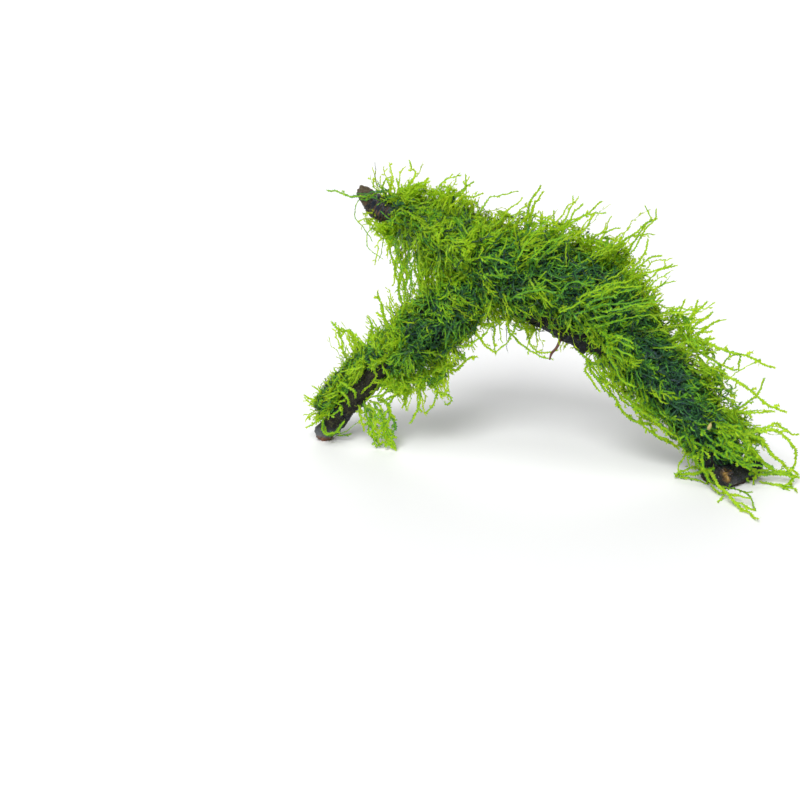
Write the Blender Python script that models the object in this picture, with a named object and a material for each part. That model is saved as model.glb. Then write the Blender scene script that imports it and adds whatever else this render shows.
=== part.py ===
"""Moss tied over a forked, bowed piece of driftwood that stands on its two feet.

The wood is split at its forks, two threads tie the moss on, and each wad of moss is a lumpy sleeve with
locks that reach as far as its longest sprigs do. Places and sizes below are in millimetres, with X along
the arch, the floor at z = 0 and the origin in the middle of what the whole thing covers.
"""

import math
import random

import bmesh
import bpy
from mathutils import Vector, noise
from mathutils.bvhtree import BVHTree

MM = 0.001
GAP = 0.4
WELD = 0.001

# Centre lines of the limbs: x, y, z and the radius there
STUB = [
    (-128, 12, 171, 3.0), (-124, 12, 169, 4.7), (-116, 11, 163, 6.4), (-100, 10, 157, 6.6),
    (-73, 8, 144, 8.0), (-46, 6, 127, 10.5),
]
LEFT_LEG = [
    (-153, 6, 2, 6.0), (-142, 5, 15, 6.2), (-134, 4, 25, 6.3), (-129, 4, 31, 8.0),
    (-118, 3, 43, 8.2), (-101, 2, 63, 8.6), (-81, 3, 85, 9.4), (-62, 5, 106, 10.5), (-47, 6, 120, 11),
]
TRUNK = [
    (-52, 6, 129, 11), (-38, 6, 122, 13.5), (-14, 7, 109, 14), (15, 8, 96, 14), (44, 9, 81, 12.5),
    (70, 9, 61, 11), (90, 7, 39, 10), (104, 5, 19, 10), (113, 4, -4, 9.5),
]
FOOT_SPUR = [(112, -9, 6, 7.0), (122, 4, 6, 7.2), (132, 18, 6.5, 6.6)]
TWIG = [(8, 4, 88, 1.6), (3, -3, 80, 1.3), (1, -6, 73, 0.9)]

# Knots: x, y, z and the radius of the lump
TRUNK_KNOTS = [(22, 2, 84, 6)]
LEG_KNOTS = [(-114, -1, 47, 5), (-128, 8, 35, 5)]
STUB_KNOTS = [(-90, 3, 153, 5)]

# How far the bark's surface swells in and out, and over what length
BARK_BUMP = (0.9, 13)

# Thread ties: where the turns start and end, as shares of the limb's length, and how many there are
STUB_TIE = (0.17, 0.32, 6)
LEG_TIE = (0.15, 0.18, 3)
THREAD_RADIUS = 0.25
THREAD_LIFT = 0.75
THREAD_POINTS = 11

# The bark under a thread is felt for from this far out, at these angles to the thread's own
FEELER_LENGTH = 40
FEELER_ANGLES = (-0.35, 0.0, 0.35)

# The moss keeps clear of a tie by this much, and by this share of the limb past each end of the tie
TIE_ROOM = 2.6
TIE_ROOM_SHARE = 0.012

# Centre lines of the wads of moss: x, y, z and the radius there
MOSS_CREST = [(-54, 7, 131, 20), (-36, 7, 130, 33), (-8, 8, 123, 37), (22, 9, 113, 35), (49, 9, 95, 30)]
MOSS_RIGHT_LEG = [
    (48, 9, 95, 27), (64, 9, 83, 32), (86, 8, 63, 31), (103, 7, 43, 30), (116, 7, 25, 26), (122, 7, 8, 19),
]
MOSS_STUB = [(-103, 11, 159, 9), (-93, 10, 158, 16), (-80, 9, 152, 23), (-62, 7, 144, 28), (-46, 6, 136, 30)]
MOSS_LEFT_LEG = [
    (-48, 6, 112, 24), (-65, 5, 97, 29), (-86, 6, 75, 28), (-103, 8, 62, 22), (-119, 11, 55, 14),
    (-133, 10, 42, 12), (-145, 9, 30, 10), (-153, 8, 20, 7),
]
MOSS_TUFT = [(-123, 0, 33, 7), (-117, -2, 23, 6), (-110, -3, 12, 7.5), (-106, -3, 1, 8)]
MOSS_SPRAY = [(104, -9, 5, 3.5), (112, -19, 4, 5), (124, -32, 3, 6), (132, -43, 2, 4)]
MOSS_BUMP = (5.0, 19)
TUFT_BUMP = (1.5, 15)

# Tips of the longest sprigs of each wad, which its locks reach
CREST_TIPS = [
    (-48, 16, 171), (-22, 2, 178), (-10, 10, 180), (-5, -12, 170), (10, 14, 174), (30, 0, 175),
    (33, 20, 163), (42, -8, 161), (55, 8, 172), (62, 14, 163), (60, -6, 154), (66, 6, 142),
    (-33, -4, 73), (-12, 2, 75), (2, -8, 73),
]
RIGHT_LEG_TIPS = [
    (76, 11, 134), (81, 18, 111), (96, 8, 114), (101, -6, 112), (103, 16, 100),
    (105, 6, 89), (139, 16, 72), (118, -2, 75), (133, 24, 63), (149, 11, 46), (145, -6, 47),
    (157, 18, 30), (160, 8, 12), (150, -28, 2), (51, -2, 38), (62, 10, 30), (85, -2, 19), (82, 5, 2),
]
STUB_TIPS = [
    (-94, 10, 190), (-103, 0, 183), (-82, 18, 178), (-59, 4, 186), (-53, 14, 179), (-115, 5, 188),
    (-123, 2, 151), (-109, -2, 128), (-101, 6, 112), (-91, 0, 104),
]
LEFT_LEG_TIPS = [
    (-112, 6, 107), (-122, 12, 87), (-145, 6, 83), (-134, 10, 75), (-146, 12, 49),
    (-157, 9, 35), (-161, 4, 31), (-160, 2, 9), (-89, -2, 24), (-81, 8, 24), (-62, 0, 37),
    (-68, 14, 40), (-57, -6, 60), (-44, 0, 70),
]
TUFT_TIPS = [(-98, -6, 1), (-112, -4, 1)]
SPRAY_TIPS = [(138, -57, 2), (136, -41, 3), (120, -36, 2)]

# The one long thin sprig that stands out past the stub: x, y, z and the radius there
STUB_SPRIG = [(-98, 3, 162, 2.2), (-116, 1.5, 171, 1.8), (-132, 3, 174, 1.3), (-148, 6, 170, 0.6)]

# A lock's radius for its reach, the least and the most that it can be, and the radius of its tip
LOCK_THICKNESS = 0.2
LOCK_RADII = (4.0, 6.5)
LOCK_TIP_RADIUS = 0.6

# How a lock narrows from its root to its tip: a share of its length, and a share of its radius
LOCK_PROFILE = ((0, 1.0), (0.38, 0.85), (0.72, 0.55), (1, 0))

# How far out a lock's root is, as a share of the wad's radius and at most of the tip's distance
LOCK_ROOT = (0.6, 0.5)

# How much a lock arches, as a share of its reach, and how far its root leans back along the wad
LOCK_ARCH = 0.14
LOCK_LEAN = 0.35
LOCK_LEAN_LIMIT = 9

# Locks on the sides that no picture shows: how many, where along the wad, at what angles to the level
# and how far out of it. Of every four, three are behind and one is in front.
BACK_LOCKS = {"moss_crest": 7, "moss_right_leg": 6, "moss_stub": 3, "moss_left_leg": 4}
BACK_SPAN = (0.1, 0.9)
BACK_UNEVENNESS = 0.6
BACK_ANGLES = (-0.5, 0.75)
BACK_REACH = (9, 15)
BACK_CYCLE = 4

# Steps along a piece between two of its points, and the fineness round it
LIMB_FINENESS = (3, 2)
WAD_FINENESS = (2, 3)
SMOOTH_DEGREES = 40
FLOOR_SIZE = 600

COLOURS = {
    "bark": ((0.045, 0.032, 0.022, 1.0), 0.42),
    "thread": ((0.012, 0.014, 0.022, 1.0), 0.35),
    "moss": ((0.10, 0.30, 0.02, 1.0), 0.55),
}


def fresh_scene():
    """Empty the scene, and return the collections for the parts and for the shapes that cut them."""
    for item in list(bpy.data.objects):
        bpy.data.objects.remove(item, do_unlink=True)
    collections = []
    for title in ("moss_tree_on_driftwood", "cutters"):
        collection = bpy.data.collections.new(title)
        bpy.context.scene.collection.children.link(collection)
        collections.append(collection)
    return collections


def material(name):
    """The plain material of one kind of piece."""
    found = bpy.data.materials.get(name)
    if found:
        return found
    colour, roughness = COLOURS[name]
    made = bpy.data.materials.new(name)
    made.use_nodes = True
    shader = made.node_tree.nodes["Principled BSDF"]
    shader.inputs["Base Color"].default_value = colour
    shader.inputs["Roughness"].default_value = roughness
    shader.inputs["Metallic"].default_value = 0.0
    made.diffuse_color = colour
    return made


def add_mesh(name, mesh, collection):
    """Put a mesh in a collection as an object of its own."""
    item = bpy.data.objects.new(name, mesh)
    collection.objects.link(item)
    return item


def tidy(mesh):
    """Weld loose caps and doubled points, and keep the largest closed body only."""
    work = bmesh.new()
    work.from_mesh(mesh)
    bmesh.ops.remove_doubles(work, verts=work.verts, dist=WELD * MM)
    bmesh.ops.dissolve_degenerate(work, edges=work.edges, dist=WELD * MM)
    left = set(work.faces)
    bodies = []
    while left:
        body = set()
        front = [left.pop()]
        while front:
            face = front.pop()
            body.add(face)
            for edge in face.edges:
                for other in edge.link_faces:
                    if other in left:
                        left.remove(other)
                        front.append(other)
        bodies.append(body)
    bodies.sort(key=len)
    for body in bodies[:-1]:
        bmesh.ops.delete(work, geom=list(body), context="FACES")
    work.to_mesh(mesh)
    work.free()


def mesh_from(item):
    """The mesh that an object shows with all its modifiers."""
    scene = bpy.context.evaluated_depsgraph_get()
    return bpy.data.meshes.new_from_object(item.evaluated_get(scene))


def tube(name, line, collection, steps, sides, kind="BEZIER"):
    """A closed tube through (x, y, z, radius) points in millimetres, as a mesh object."""
    curve = bpy.data.curves.new(name, "CURVE")
    curve.dimensions = "3D"
    curve.bevel_depth = MM
    curve.bevel_resolution = sides
    curve.use_fill_caps = True
    curve.resolution_u = steps
    curve.render_resolution_u = 0
    smooth = kind == "BEZIER"
    spline = curve.splines.new(kind)
    points = spline.bezier_points if smooth else spline.points
    points.add(len(line) - 1)
    for point, (x, y, z, radius) in zip(points, line):
        place = (x * MM, y * MM, z * MM)
        point.co = place if smooth else (*place, 1.0)
        point.radius = radius
        if smooth:
            point.handle_left_type = "AUTO"
            point.handle_right_type = "AUTO"
    holder = bpy.data.objects.new(name, curve)
    collection.objects.link(holder)
    mesh = mesh_from(holder)
    bpy.data.objects.remove(holder, do_unlink=True)
    tidy(mesh)
    return add_mesh(name, mesh, collection)


def ball(place, radius, collection):
    """A small lump as a closed mesh object."""
    mesh = bpy.data.meshes.new("lump")
    work = bmesh.new()
    bmesh.ops.create_icosphere(work, subdivisions=2, radius=radius * MM)
    bmesh.ops.translate(work, verts=work.verts, vec=Vector(place) * MM)
    work.to_mesh(mesh)
    work.free()
    return add_mesh("lump", mesh, collection)


def floor_block(collection):
    """The block under the floor, which cuts the feet and the lowest moss off flat."""
    mesh = bpy.data.meshes.new("below_floor")
    work = bmesh.new()
    bmesh.ops.create_cube(work, size=FLOOR_SIZE * MM)
    bmesh.ops.translate(work, verts=work.verts, vec=(0, 0, -FLOOR_SIZE * MM / 2))
    work.to_mesh(mesh)
    work.free()
    return add_mesh("below_floor", mesh, collection)


def roughen(item, height, size):
    """Push the surface in and out along its normals, so that it is gnarled, and make its faces flat."""
    mesh = item.data
    normals = [Vector(normal.vector) for normal in mesh.vertex_normals]
    for vertex, normal in zip(mesh.vertices, normals):
        vertex.co += normal * noise.noise(vertex.co / (size * MM)) * height * MM
    work = bmesh.new()
    work.from_mesh(mesh)
    bmesh.ops.triangulate(work, faces=work.faces)
    work.to_mesh(mesh)
    work.free()


def combine(item, other, operation, keep_other=False):
    """Join another closed object to this one, or cut it away, and keep the largest body."""
    change = item.modifiers.new("combine", "BOOLEAN")
    change.operation = operation
    change.solver = "EXACT"
    change.object = other
    mesh = mesh_from(item)
    old = item.data
    item.modifiers.clear()
    item.data = mesh
    bpy.data.meshes.remove(old)
    tidy(mesh)
    if not keep_other:
        bpy.data.objects.remove(other, do_unlink=True)


def grown(line, extra):
    """A centre line made fatter, and longer at both ends, by the same amount."""
    if not extra:
        return line
    fat = [(x, y, z, radius + extra) for x, y, z, radius in line]
    for end, beside in ((0, 1), (-1, -2)):
        tip = Vector(fat[end][:3])
        place = tip + (tip - Vector(fat[beside][:3])).normalized() * extra
        fat[end] = (*place, fat[end][3])
    return fat


def along(line, share):
    """The place, the direction and the radius at a share of a line's length."""
    places = [Vector(point[:3]) for point in line]
    lengths = [(after - before).length for before, after in zip(places, places[1:])]
    left = share * sum(lengths)
    index = 0
    while left > lengths[index] and index < len(lengths) - 1:
        left -= lengths[index]
        index += 1
    part = left / lengths[index]
    place = places[index].lerp(places[index + 1], part)
    radius = line[index][3] * (1 - part) + line[index + 1][3] * part
    return place, (places[index + 1] - places[index]).normalized(), radius


def nearest_share(line, place, steps=60):
    """The share of a line's length whose point lies nearest to a place."""
    shares = [step / steps for step in range(steps + 1)]
    return min(shares, key=lambda share: (along(line, share)[0] - place).length)


def spoke(line, share, angle):
    """A point on a line, and the way straight out of it at an angle round it."""
    centre, direction, _ = along(line, share)
    side = direction.cross(Vector((0, 0, 1))).normalized()
    return centre, side * math.cos(angle) + side.cross(direction) * math.sin(angle)


def thread_line(line, limb, tie):
    """The turns of a thread, laid on the bark that they go round."""
    surface = BVHTree.FromPolygons(
        [vertex.co / MM for vertex in limb.data.vertices],
        [list(face.vertices) for face in limb.data.polygons],
    )
    start, end, turns = tie
    count = turns * THREAD_POINTS
    points = []
    for step in range(count + 1):
        share = start + (end - start) * step / count
        angle = 2 * math.pi * step / THREAD_POINTS
        height = 0
        for lean in FEELER_ANGLES:
            centre, outward = spoke(line, share, angle + lean)
            hit = surface.ray_cast(centre + outward * FEELER_LENGTH, -outward)
            if hit[0] is not None:
                height = max(height, FEELER_LENGTH - hit[3])
        centre, outward = spoke(line, share, angle)
        points.append((*(centre + outward * (height + THREAD_LIFT)), THREAD_RADIUS))
    return points


def tie_room(line, tie, collection):
    """The ring of space that the turns of a thread need in the moss."""
    start, end, _ = tie
    points = []
    for share in (start - TIE_ROOM_SHARE, end + TIE_ROOM_SHARE):
        centre, _, radius = along(line, share)
        points.append((*centre, radius + TIE_ROOM))
    return tube("tie_room", points, collection, 1, 2, "POLY")


def lock_line(line, tip):
    """The points of a lock: from inside its wad, out over an arch, to its tip."""
    end = Vector(tip)
    centre, direction, radius = along(line, nearest_share(line, end))
    outward = end - centre
    root = centre + outward.normalized() * min(radius * LOCK_ROOT[0], outward.length * LOCK_ROOT[1])
    root -= direction * min(radius * LOCK_LEAN, LOCK_LEAN_LIMIT)
    reach = (end - root).length
    thick = min(max(reach * LOCK_THICKNESS, LOCK_RADII[0]), LOCK_RADII[1])
    lift = Vector((0, 0, reach * LOCK_ARCH))
    points = []
    for share, size in LOCK_PROFILE:
        place = root.lerp(end, share) + lift * math.sin(math.pi * share)
        points.append((*place, max(thick * size, LOCK_TIP_RADIUS)))
    return points


def back_tips(line, count, seed):
    """Tips for the locks behind and in front, spread along the wad by a seeded draw."""
    draw = random.Random(seed)
    first, last = BACK_SPAN
    tips = []
    for index in range(count):
        share = first + (last - first) * (index + draw.random() * BACK_UNEVENNESS) / count
        angle = draw.uniform(*BACK_ANGLES)
        if index % BACK_CYCLE != BACK_CYCLE - 1:
            angle = math.pi - angle
        centre, outward = spoke(line, share, angle)
        tips.append(centre + outward * (along(line, share)[2] + draw.uniform(*BACK_REACH)))
    return tips


def solid(name, line, shoots, lumps, fineness, bump, extra, collection):
    """A gnarled tube joined with its lumps and shoots, all of it larger by the extra."""
    item = tube(name, grown(line, extra), collection, *fineness)
    roughen(item, *bump)
    for x, y, z, radius in lumps:
        combine(item, ball((x, y, z), radius + extra, collection), "UNION")
    for shoot in shoots:
        combine(item, tube("shoot", grown(shoot, extra), collection, 1, 0, "POLY"), "UNION")
    return item


def piece(name, line, shoots, lumps, fineness, bump, cuts, places):
    """A finished piece, cut clear of its neighbours, and the room that it needs in the next ones."""
    parts, cutters = places
    item = solid(name, line, shoots, lumps, fineness, bump, 0, parts)
    room = solid("room_for_" + name, line, shoots, lumps, fineness, bump, GAP, cutters)
    for cut in cuts:
        combine(item, cut, "DIFFERENCE", keep_other=True)
    return item, room


def limb(name, line, knots, cuts, places, shoots=()):
    """A limb of the driftwood with its knots, cut clear of the limbs that it meets."""
    return piece(name, line, shoots, knots, LIMB_FINENESS, BARK_BUMP, cuts, places)


def wad(name, line, tips, cuts, places, bump=MOSS_BUMP, sprigs=(), seed=0):
    """A wad of moss: a lumpy sleeve and its locks in one body, cut clear of what it lies on."""
    every_tip = tips + back_tips(line, BACK_LOCKS.get(name, 0), seed)
    locks = [*sprigs, *[lock_line(line, tip) for tip in every_tip]]
    return piece(name, line, locks, [], WAD_FINENESS, bump, cuts, places)


def finish(items, kind, whole):
    """Give pieces their material and their soft shading, and tie them to the whole."""
    for item in items:
        item.data.materials.clear()
        item.data.materials.append(material(kind))
        item.data.shade_smooth()
        item.data.set_sharp_from_angle(angle=math.radians(SMOOTH_DEGREES))
        item.parent = whole


def build():
    """Make every piece of the tree."""
    places = fresh_scene()
    parts, cutters = places
    whole = bpy.data.objects.new("moss_tree", None)
    parts.objects.link(whole)
    floor = floor_block(cutters)

    trunk, trunk_room = limb("driftwood_trunk", TRUNK, TRUNK_KNOTS, [floor], places, shoots=[TWIG])
    stub, stub_room = limb("driftwood_stub", STUB, STUB_KNOTS, [trunk_room], places)
    cuts = [trunk_room, stub_room, floor]
    left_leg, leg_room = limb("driftwood_left_leg", LEFT_LEG, LEG_KNOTS, cuts, places)
    spur, spur_room = limb("driftwood_foot_spur", FOOT_SPUR, [], [trunk_room, floor], places)
    finish([trunk, stub, left_leg, spur], "bark", whole)

    stub_thread = tube("binding_thread_stub", thread_line(STUB, stub, STUB_TIE), parts, 1, 0, "POLY")
    leg_thread = tube("binding_thread_leg", thread_line(LEFT_LEG, left_leg, LEG_TIE), parts, 1, 0, "POLY")
    finish([stub_thread, leg_thread], "thread", whole)
    stub_tie_room = tie_room(STUB, STUB_TIE, cutters)
    leg_tie_room = tie_room(LEFT_LEG, LEG_TIE, cutters)

    wood = [trunk_room, stub_room, leg_room]
    crest, crest_room = wad("moss_crest", MOSS_CREST, CREST_TIPS, wood, places, seed=1)

    cuts = [crest_room, trunk_room, spur_room, floor]
    right_leg, right_room = wad("moss_right_leg", MOSS_RIGHT_LEG, RIGHT_LEG_TIPS, cuts, places, seed=2)

    cuts = [stub_tie_room, crest_room, *wood]
    sprigs = [STUB_SPRIG]
    on_stub, on_stub_room = wad("moss_stub", MOSS_STUB, STUB_TIPS, cuts, places, sprigs=sprigs, seed=3)

    cuts = [leg_tie_room, crest_room, on_stub_room, *wood, floor]
    on_leg, on_leg_room = wad("moss_left_leg", MOSS_LEFT_LEG, LEFT_LEG_TIPS, cuts, places, seed=4)

    cuts = [leg_tie_room, on_leg_room, leg_room, floor]
    tuft, _ = wad("moss_hanging_tuft", MOSS_TUFT, TUFT_TIPS, cuts, places, bump=TUFT_BUMP)
    cuts = [right_room, trunk_room, spur_room, floor]
    spray, _ = wad("moss_foot_spray", MOSS_SPRAY, SPRAY_TIPS, cuts, places, bump=TUFT_BUMP)
    finish([crest, right_leg, on_stub, on_leg, tuft, spray], "moss", whole)

    for item in cutters.objects:
        item.hide_render = True
        item.display_type = "WIRE"


build()
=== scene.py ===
"""A moss tree: living moss tied over a forked, bowed piece of driftwood that stands on its feet.

Sizes and places are in millimetres where a name says nothing else, in the frame of the solid model.
A place written as (across, down, depth) is where a picture of 800 by 800 shows it, at that y in millimetres.
"""

import math

import bpy
import numpy as np
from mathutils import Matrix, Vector, noise
from mathutils.bvhtree import BVHTree


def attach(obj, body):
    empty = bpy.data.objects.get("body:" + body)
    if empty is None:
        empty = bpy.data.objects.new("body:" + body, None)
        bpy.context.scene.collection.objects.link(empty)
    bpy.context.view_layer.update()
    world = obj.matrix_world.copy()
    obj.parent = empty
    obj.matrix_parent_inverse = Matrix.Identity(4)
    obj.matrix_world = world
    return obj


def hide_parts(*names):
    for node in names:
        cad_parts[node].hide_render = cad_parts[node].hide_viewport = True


bl_info = {
    "name": "Moss Tree on Driftwood",
    "version": (1, 0, 0),
    "blender": (4, 5, 0),
    "location": "3D View > Sidebar > Moss Tree",
    "description": "Builds a forked piece of driftwood with living moss tied over it",
    "category": "Object",
}

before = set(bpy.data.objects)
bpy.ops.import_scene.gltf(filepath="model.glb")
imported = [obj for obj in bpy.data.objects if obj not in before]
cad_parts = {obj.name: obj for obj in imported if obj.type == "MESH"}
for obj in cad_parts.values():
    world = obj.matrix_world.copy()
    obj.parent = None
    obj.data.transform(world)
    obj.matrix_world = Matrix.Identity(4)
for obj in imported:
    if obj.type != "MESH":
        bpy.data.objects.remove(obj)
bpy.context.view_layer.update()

# A millimetre in metres, and the width and height of the picture in pixels
MM = 0.001
PICTURE = 800

# The camera that stands where the picture was taken from: its place, how far it is turned round and tipped
# down, its lens and its sensor
CAMERA_PLACE = (0.1566, -0.9229, 0.3831)
CAMERA_TURN = math.radians(15.353)
CAMERA_DROP = math.radians(20.0)
CAMERA_LENS = 70.0
CAMERA_SENSOR = 36.0

# The lights: which way they shine, their power and how wide they look, in degrees. The first one shines from
# the front and above, the second one nearly straight down, and the last one from behind
LIGHTS = [((10, 100, -100), 3.3, 28), ((4, 30, -120), 1.05, 32), ((30, -120, -90), 0.9, 50)]
SKY_STRENGTH = 0.25

# The floor: its size in metres and its colour
FLOOR_SIZE = 24
FLOOR_COLOUR = (0.73, 0.733, 0.738, 1.0)

# Heights in metres: where limbs are cut level at the floor, and the lowest that a strand may lie
FLOOR_CUT = 0.0001
LOWEST = 0.0003

# Points that lie closer than this, in metres, become one
WELD = 0.00001

# Steps on a smooth curve between two of its points, steps in one turn of a thread, and how far out, in
# millimetres, the search for the bark under a thread starts
SMOOTH_STEPS = 24
TURN_STEPS = 26
SEARCH_FROM = 30

# Ages of strands: those below the first are dead, and the second is the darkest that a live leaf gets
DEAD = 0.1
DARKEST = 0.11

# Centre lines of the wood and of the bud, and the places of the knots: x, y, z and the radius there
STUB = [
    (-127, 12, 170, 3.0), (-124, 12, 168, 4.6), (-116, 11, 161, 7.0), (-100, 10, 155, 7.8),
    (-73, 8, 144, 8.0), (-46, 6, 127, 10.5),
]
LEFT_LEG = [
    (-153, 6, 2, 6.0), (-143, 5, 14, 6.2), (-136, 4, 24, 6.2), (-131, 4, 31, 7.4),
    (-121, 3, 43, 7.8), (-103, 2, 64, 8.4), (-82, 3, 85, 9.4), (-62, 5, 106, 10.5), (-47, 6, 120, 11),
]
TRUNK = [
    (-52, 6, 129, 11), (-38, 6, 122, 13.5), (-14, 7, 109, 14), (15, 8, 96, 14), (44, 9, 81, 12.5),
    (70, 9, 61, 11), (90, 7, 39, 10), (104, 5, 19, 10), (113, 4, -4, 9.5),
]
FOOT_SPUR = [(112, -9, 6, 7.0), (122, 4, 6, 7.2), (132, 18, 6.5, 6.6)]
BUD = [(104.4, -15, 44.4, 0.5), (104.2, -17, 43.2, 1.2), (103.6, -17, 41.8, 1.2), (102.8, -16, 40.8, 0.4)]
TWIG = [(8, 2, 88, 1.1), (6, -4, 81, 0.9), (3, -5, 77, 0.8), (2, -5, 73, 0.5)]
TRUNK_KNOTS = [(22, 2, 84, 6)]
LEG_KNOTS = [(-117, -1, 47, 5), (-130, 8, 35, 5)]
STUB_KNOTS = [(-90, 3, 153, 5)]

# Thread ties: start and end as shares of the limb's length, the turns, and how far they swing over each other
STUB_TIE = [(0.10, 0.34, 11, 0.0), (0.14, 0.31, 6, 0.02), (0.33, 0.12, 7, 0.03)]
LEG_TIE = [(0.15, 0.18, 3, 0.0), (0.18, 0.155, 2, 0.008)]

# Centre lines of the wads of moss: x, y, z and the radius there
CREST = [(-54, 7, 131, 20), (-36, 7, 130, 33), (-8, 8, 123, 37), (22, 9, 113, 35), (49, 9, 95, 30)]
RIGHT_LEG = [
    (46, 9, 96, 27), (58, 9, 79, 27), (77, 8, 59, 24.5), (93, 7, 40, 22.5), (107, 7, 24, 20),
    (114, 7, 9, 14),
]
ON_STUB = [(-103, 11, 159, 9), (-93, 10, 158, 16), (-80, 9, 152, 23), (-62, 7, 144, 28), (-46, 6, 136, 30)]
ON_LEFT_LEG = [
    (-48, 6, 112, 24), (-65, 5, 97, 29), (-86, 6, 76, 28), (-103, 8, 65, 23), (-119, 10, 57, 16),
    (-133, 10, 44, 14), (-145, 9, 32, 11.5), (-154, 8, 21, 8),
]

# Thin lacy rolls of moss along the wads: an edge runs along the lower side of a wad and a rim along its upper
# side, and one more lies on the front of the left leg
RIGHT_LEG_EDGE = [
    (30, 2, 79, 5), (42, 2, 64, 7), (55, 2, 52, 7), (68, 2, 42, 7), (80, 2, 32, 6), (88, 2, 24, 4),
]
RIGHT_LEG_RIM = [
    (74, 10, 104, 4), (84, 10, 98, 6), (93, 10, 84, 7), (102, 10, 70, 7), (110, 10, 57, 7),
    (119, 10, 43, 7),
    (128, 10, 29, 7), (135, 10, 13, 5),
]
CREST_EDGE = [(-56, 4, 95, 5), (-38, 4, 93, 6), (-16, 4, 93, 7), (2, 4, 90, 6), (20, 2, 84, 4)]
CREST_RIM = [
    (-38, 10, 164, 4), (-10, 10, 157, 5), (12, 10, 152, 6), (31, 10, 146, 7), (44, 10, 137, 7),
    (54, 10, 124, 7), (64, 10, 112, 6),
]
STUB_EDGE = [(-119, 5, 153, 2.5), (-112, 4, 149, 5), (-104, 3, 146, 7), (-94, 4, 138, 8)]
STUB_RIM = [(-104, 8, 166, 4), (-90, 8, 172, 6), (-74, 8, 173, 6), (-60, 8, 170, 5)]
LEFT_LEG_EDGE = [
    (-110, -5, 47, 4.5), (-101, -4, 46, 7), (-90, -2, 46, 8), (-78, 0, 51, 8), (-66, 0, 60, 7.5),
    (-56, 0, 70, 6),
]
LEFT_LEG_FRONT = [
    (-93, -10, 82, 9), (-108, -8, 69, 7), (-121, -5, 57, 6.5), (-133, -3, 44, 6), (-144, -1, 31, 5.5),
    (-154, 0, 19, 5),
]

# Tips of the longest sprays of each wad
CREST_TIPS = [
    (-48, 16, 171), (-22, 2, 178), (-10, 10, 180), (-5, -12, 170), (10, 14, 174), (30, 0, 175),
    (33, 20, 163), (42, -8, 161), (17, 56, 104), (-29, 52, 134), (40, 51, 92), (55, 8, 172),
    (62, 14, 163), (60, -6, 154), (66, 6, 142),
    (-33, -4, 73), (-12, 2, 75), (2, -8, 73),
]
RIGHT_LEG_TIPS = [
    (76, 11, 134), (84, 51, 60), (104, 50, 42), (62, 50, 84), (81, 18, 111), (96, 8, 114),
    (101, -6, 112), (103, 16, 100), (105, 6, 89),
    (118, -2, 75), (140, 16, 50), (150, 18, 30),
    (160, 8, 12), (150, -28, 2), (51, -2, 38), (62, 10, 30), (85, -2, 19), (82, 5, 2),
]
STUB_TIPS = [
    (-94, 10, 190), (-103, 0, 183), (-82, 18, 178), (-59, 4, 186), (-53, 14, 179), (-115, 5, 188),
    (-123, 2, 151), (-109, -2, 128), (-101, 6, 112), (-91, 0, 104),
]
LEFT_LEG_TIPS = [
    (-112, 6, 107), (-122, 12, 87), (-145, 6, 83), (-134, 10, 75), (-146, 12, 49), (-157, 9, 35),
    (-161, 4, 31), (-160, 2, 9), (-89, -2, 24), (-81, 8, 24), (-62, 0, 37), (-68, 14, 40),
    (-57, -6, 60), (-44, 0, 70),
]

# Where the wood stays bare in front, and where the moss is thin and darkened with painted shade: x, y, z and
# the radius
BARE = [
    (-121, -2, 173, 6), (-114, -3, 169, 7), (-107, -4, 166, 7.5), (-99, -5, 165, 6.5),
    (-94, -6, 163, 4), (-96, -6, 161, 5),
    (-92, -8, 160, 3.5), (-102, -6, 162, 5), (-112, -8, 54, 4), (-120, -7, 46, 6), (-125, -7, 40, 5),
    (-132, -6, 31, 3),
    (-136, -6, 23, 4), (-141, -5, 15, 5), (-148, -4, 9, 5), (-153, -3, 3, 5), (9, -9, 86, 2),
    (18, -8, 82, 2.5),
    (28, -8, 79, 2.5), (107, -14, 21, 8), (114, -14, 15, 9), (123, -8, 9, 8), (101, -14, 27, 5),
]
SHADED_HOLLOWS = [
    (-23, -22, 141, 8), (39, -4, 138, 11), (30, -7, 141, 10), (15, -24, 126, 8), (-48, -20, 121, 9),
    (-23, -26, 125, 6),
    (68, -12, 87, 9), (79, -9, 81, 9), (60, -15, 67, 8), (84, -13, 66, 9), (90, -14, 50, 9),
    (100, -13, 29, 11),
    (-87, -20, 77, 6), (-68, -20, 83, 6), (-54, -20, 97, 7), (-85, -12, 155, 6), (-79, -15, 146, 6),
    (48, 4, 133, 8),
    (13, -20, 135, 7), (20, -24, 117, 7), (35, -13, 134, 8), (44, 0, 137, 8), (43, -20, 104, 6),
    (62, -16, 89, 7),
    (-30, -20, 144, 5), (25, -15, 137, 7),
]
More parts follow.
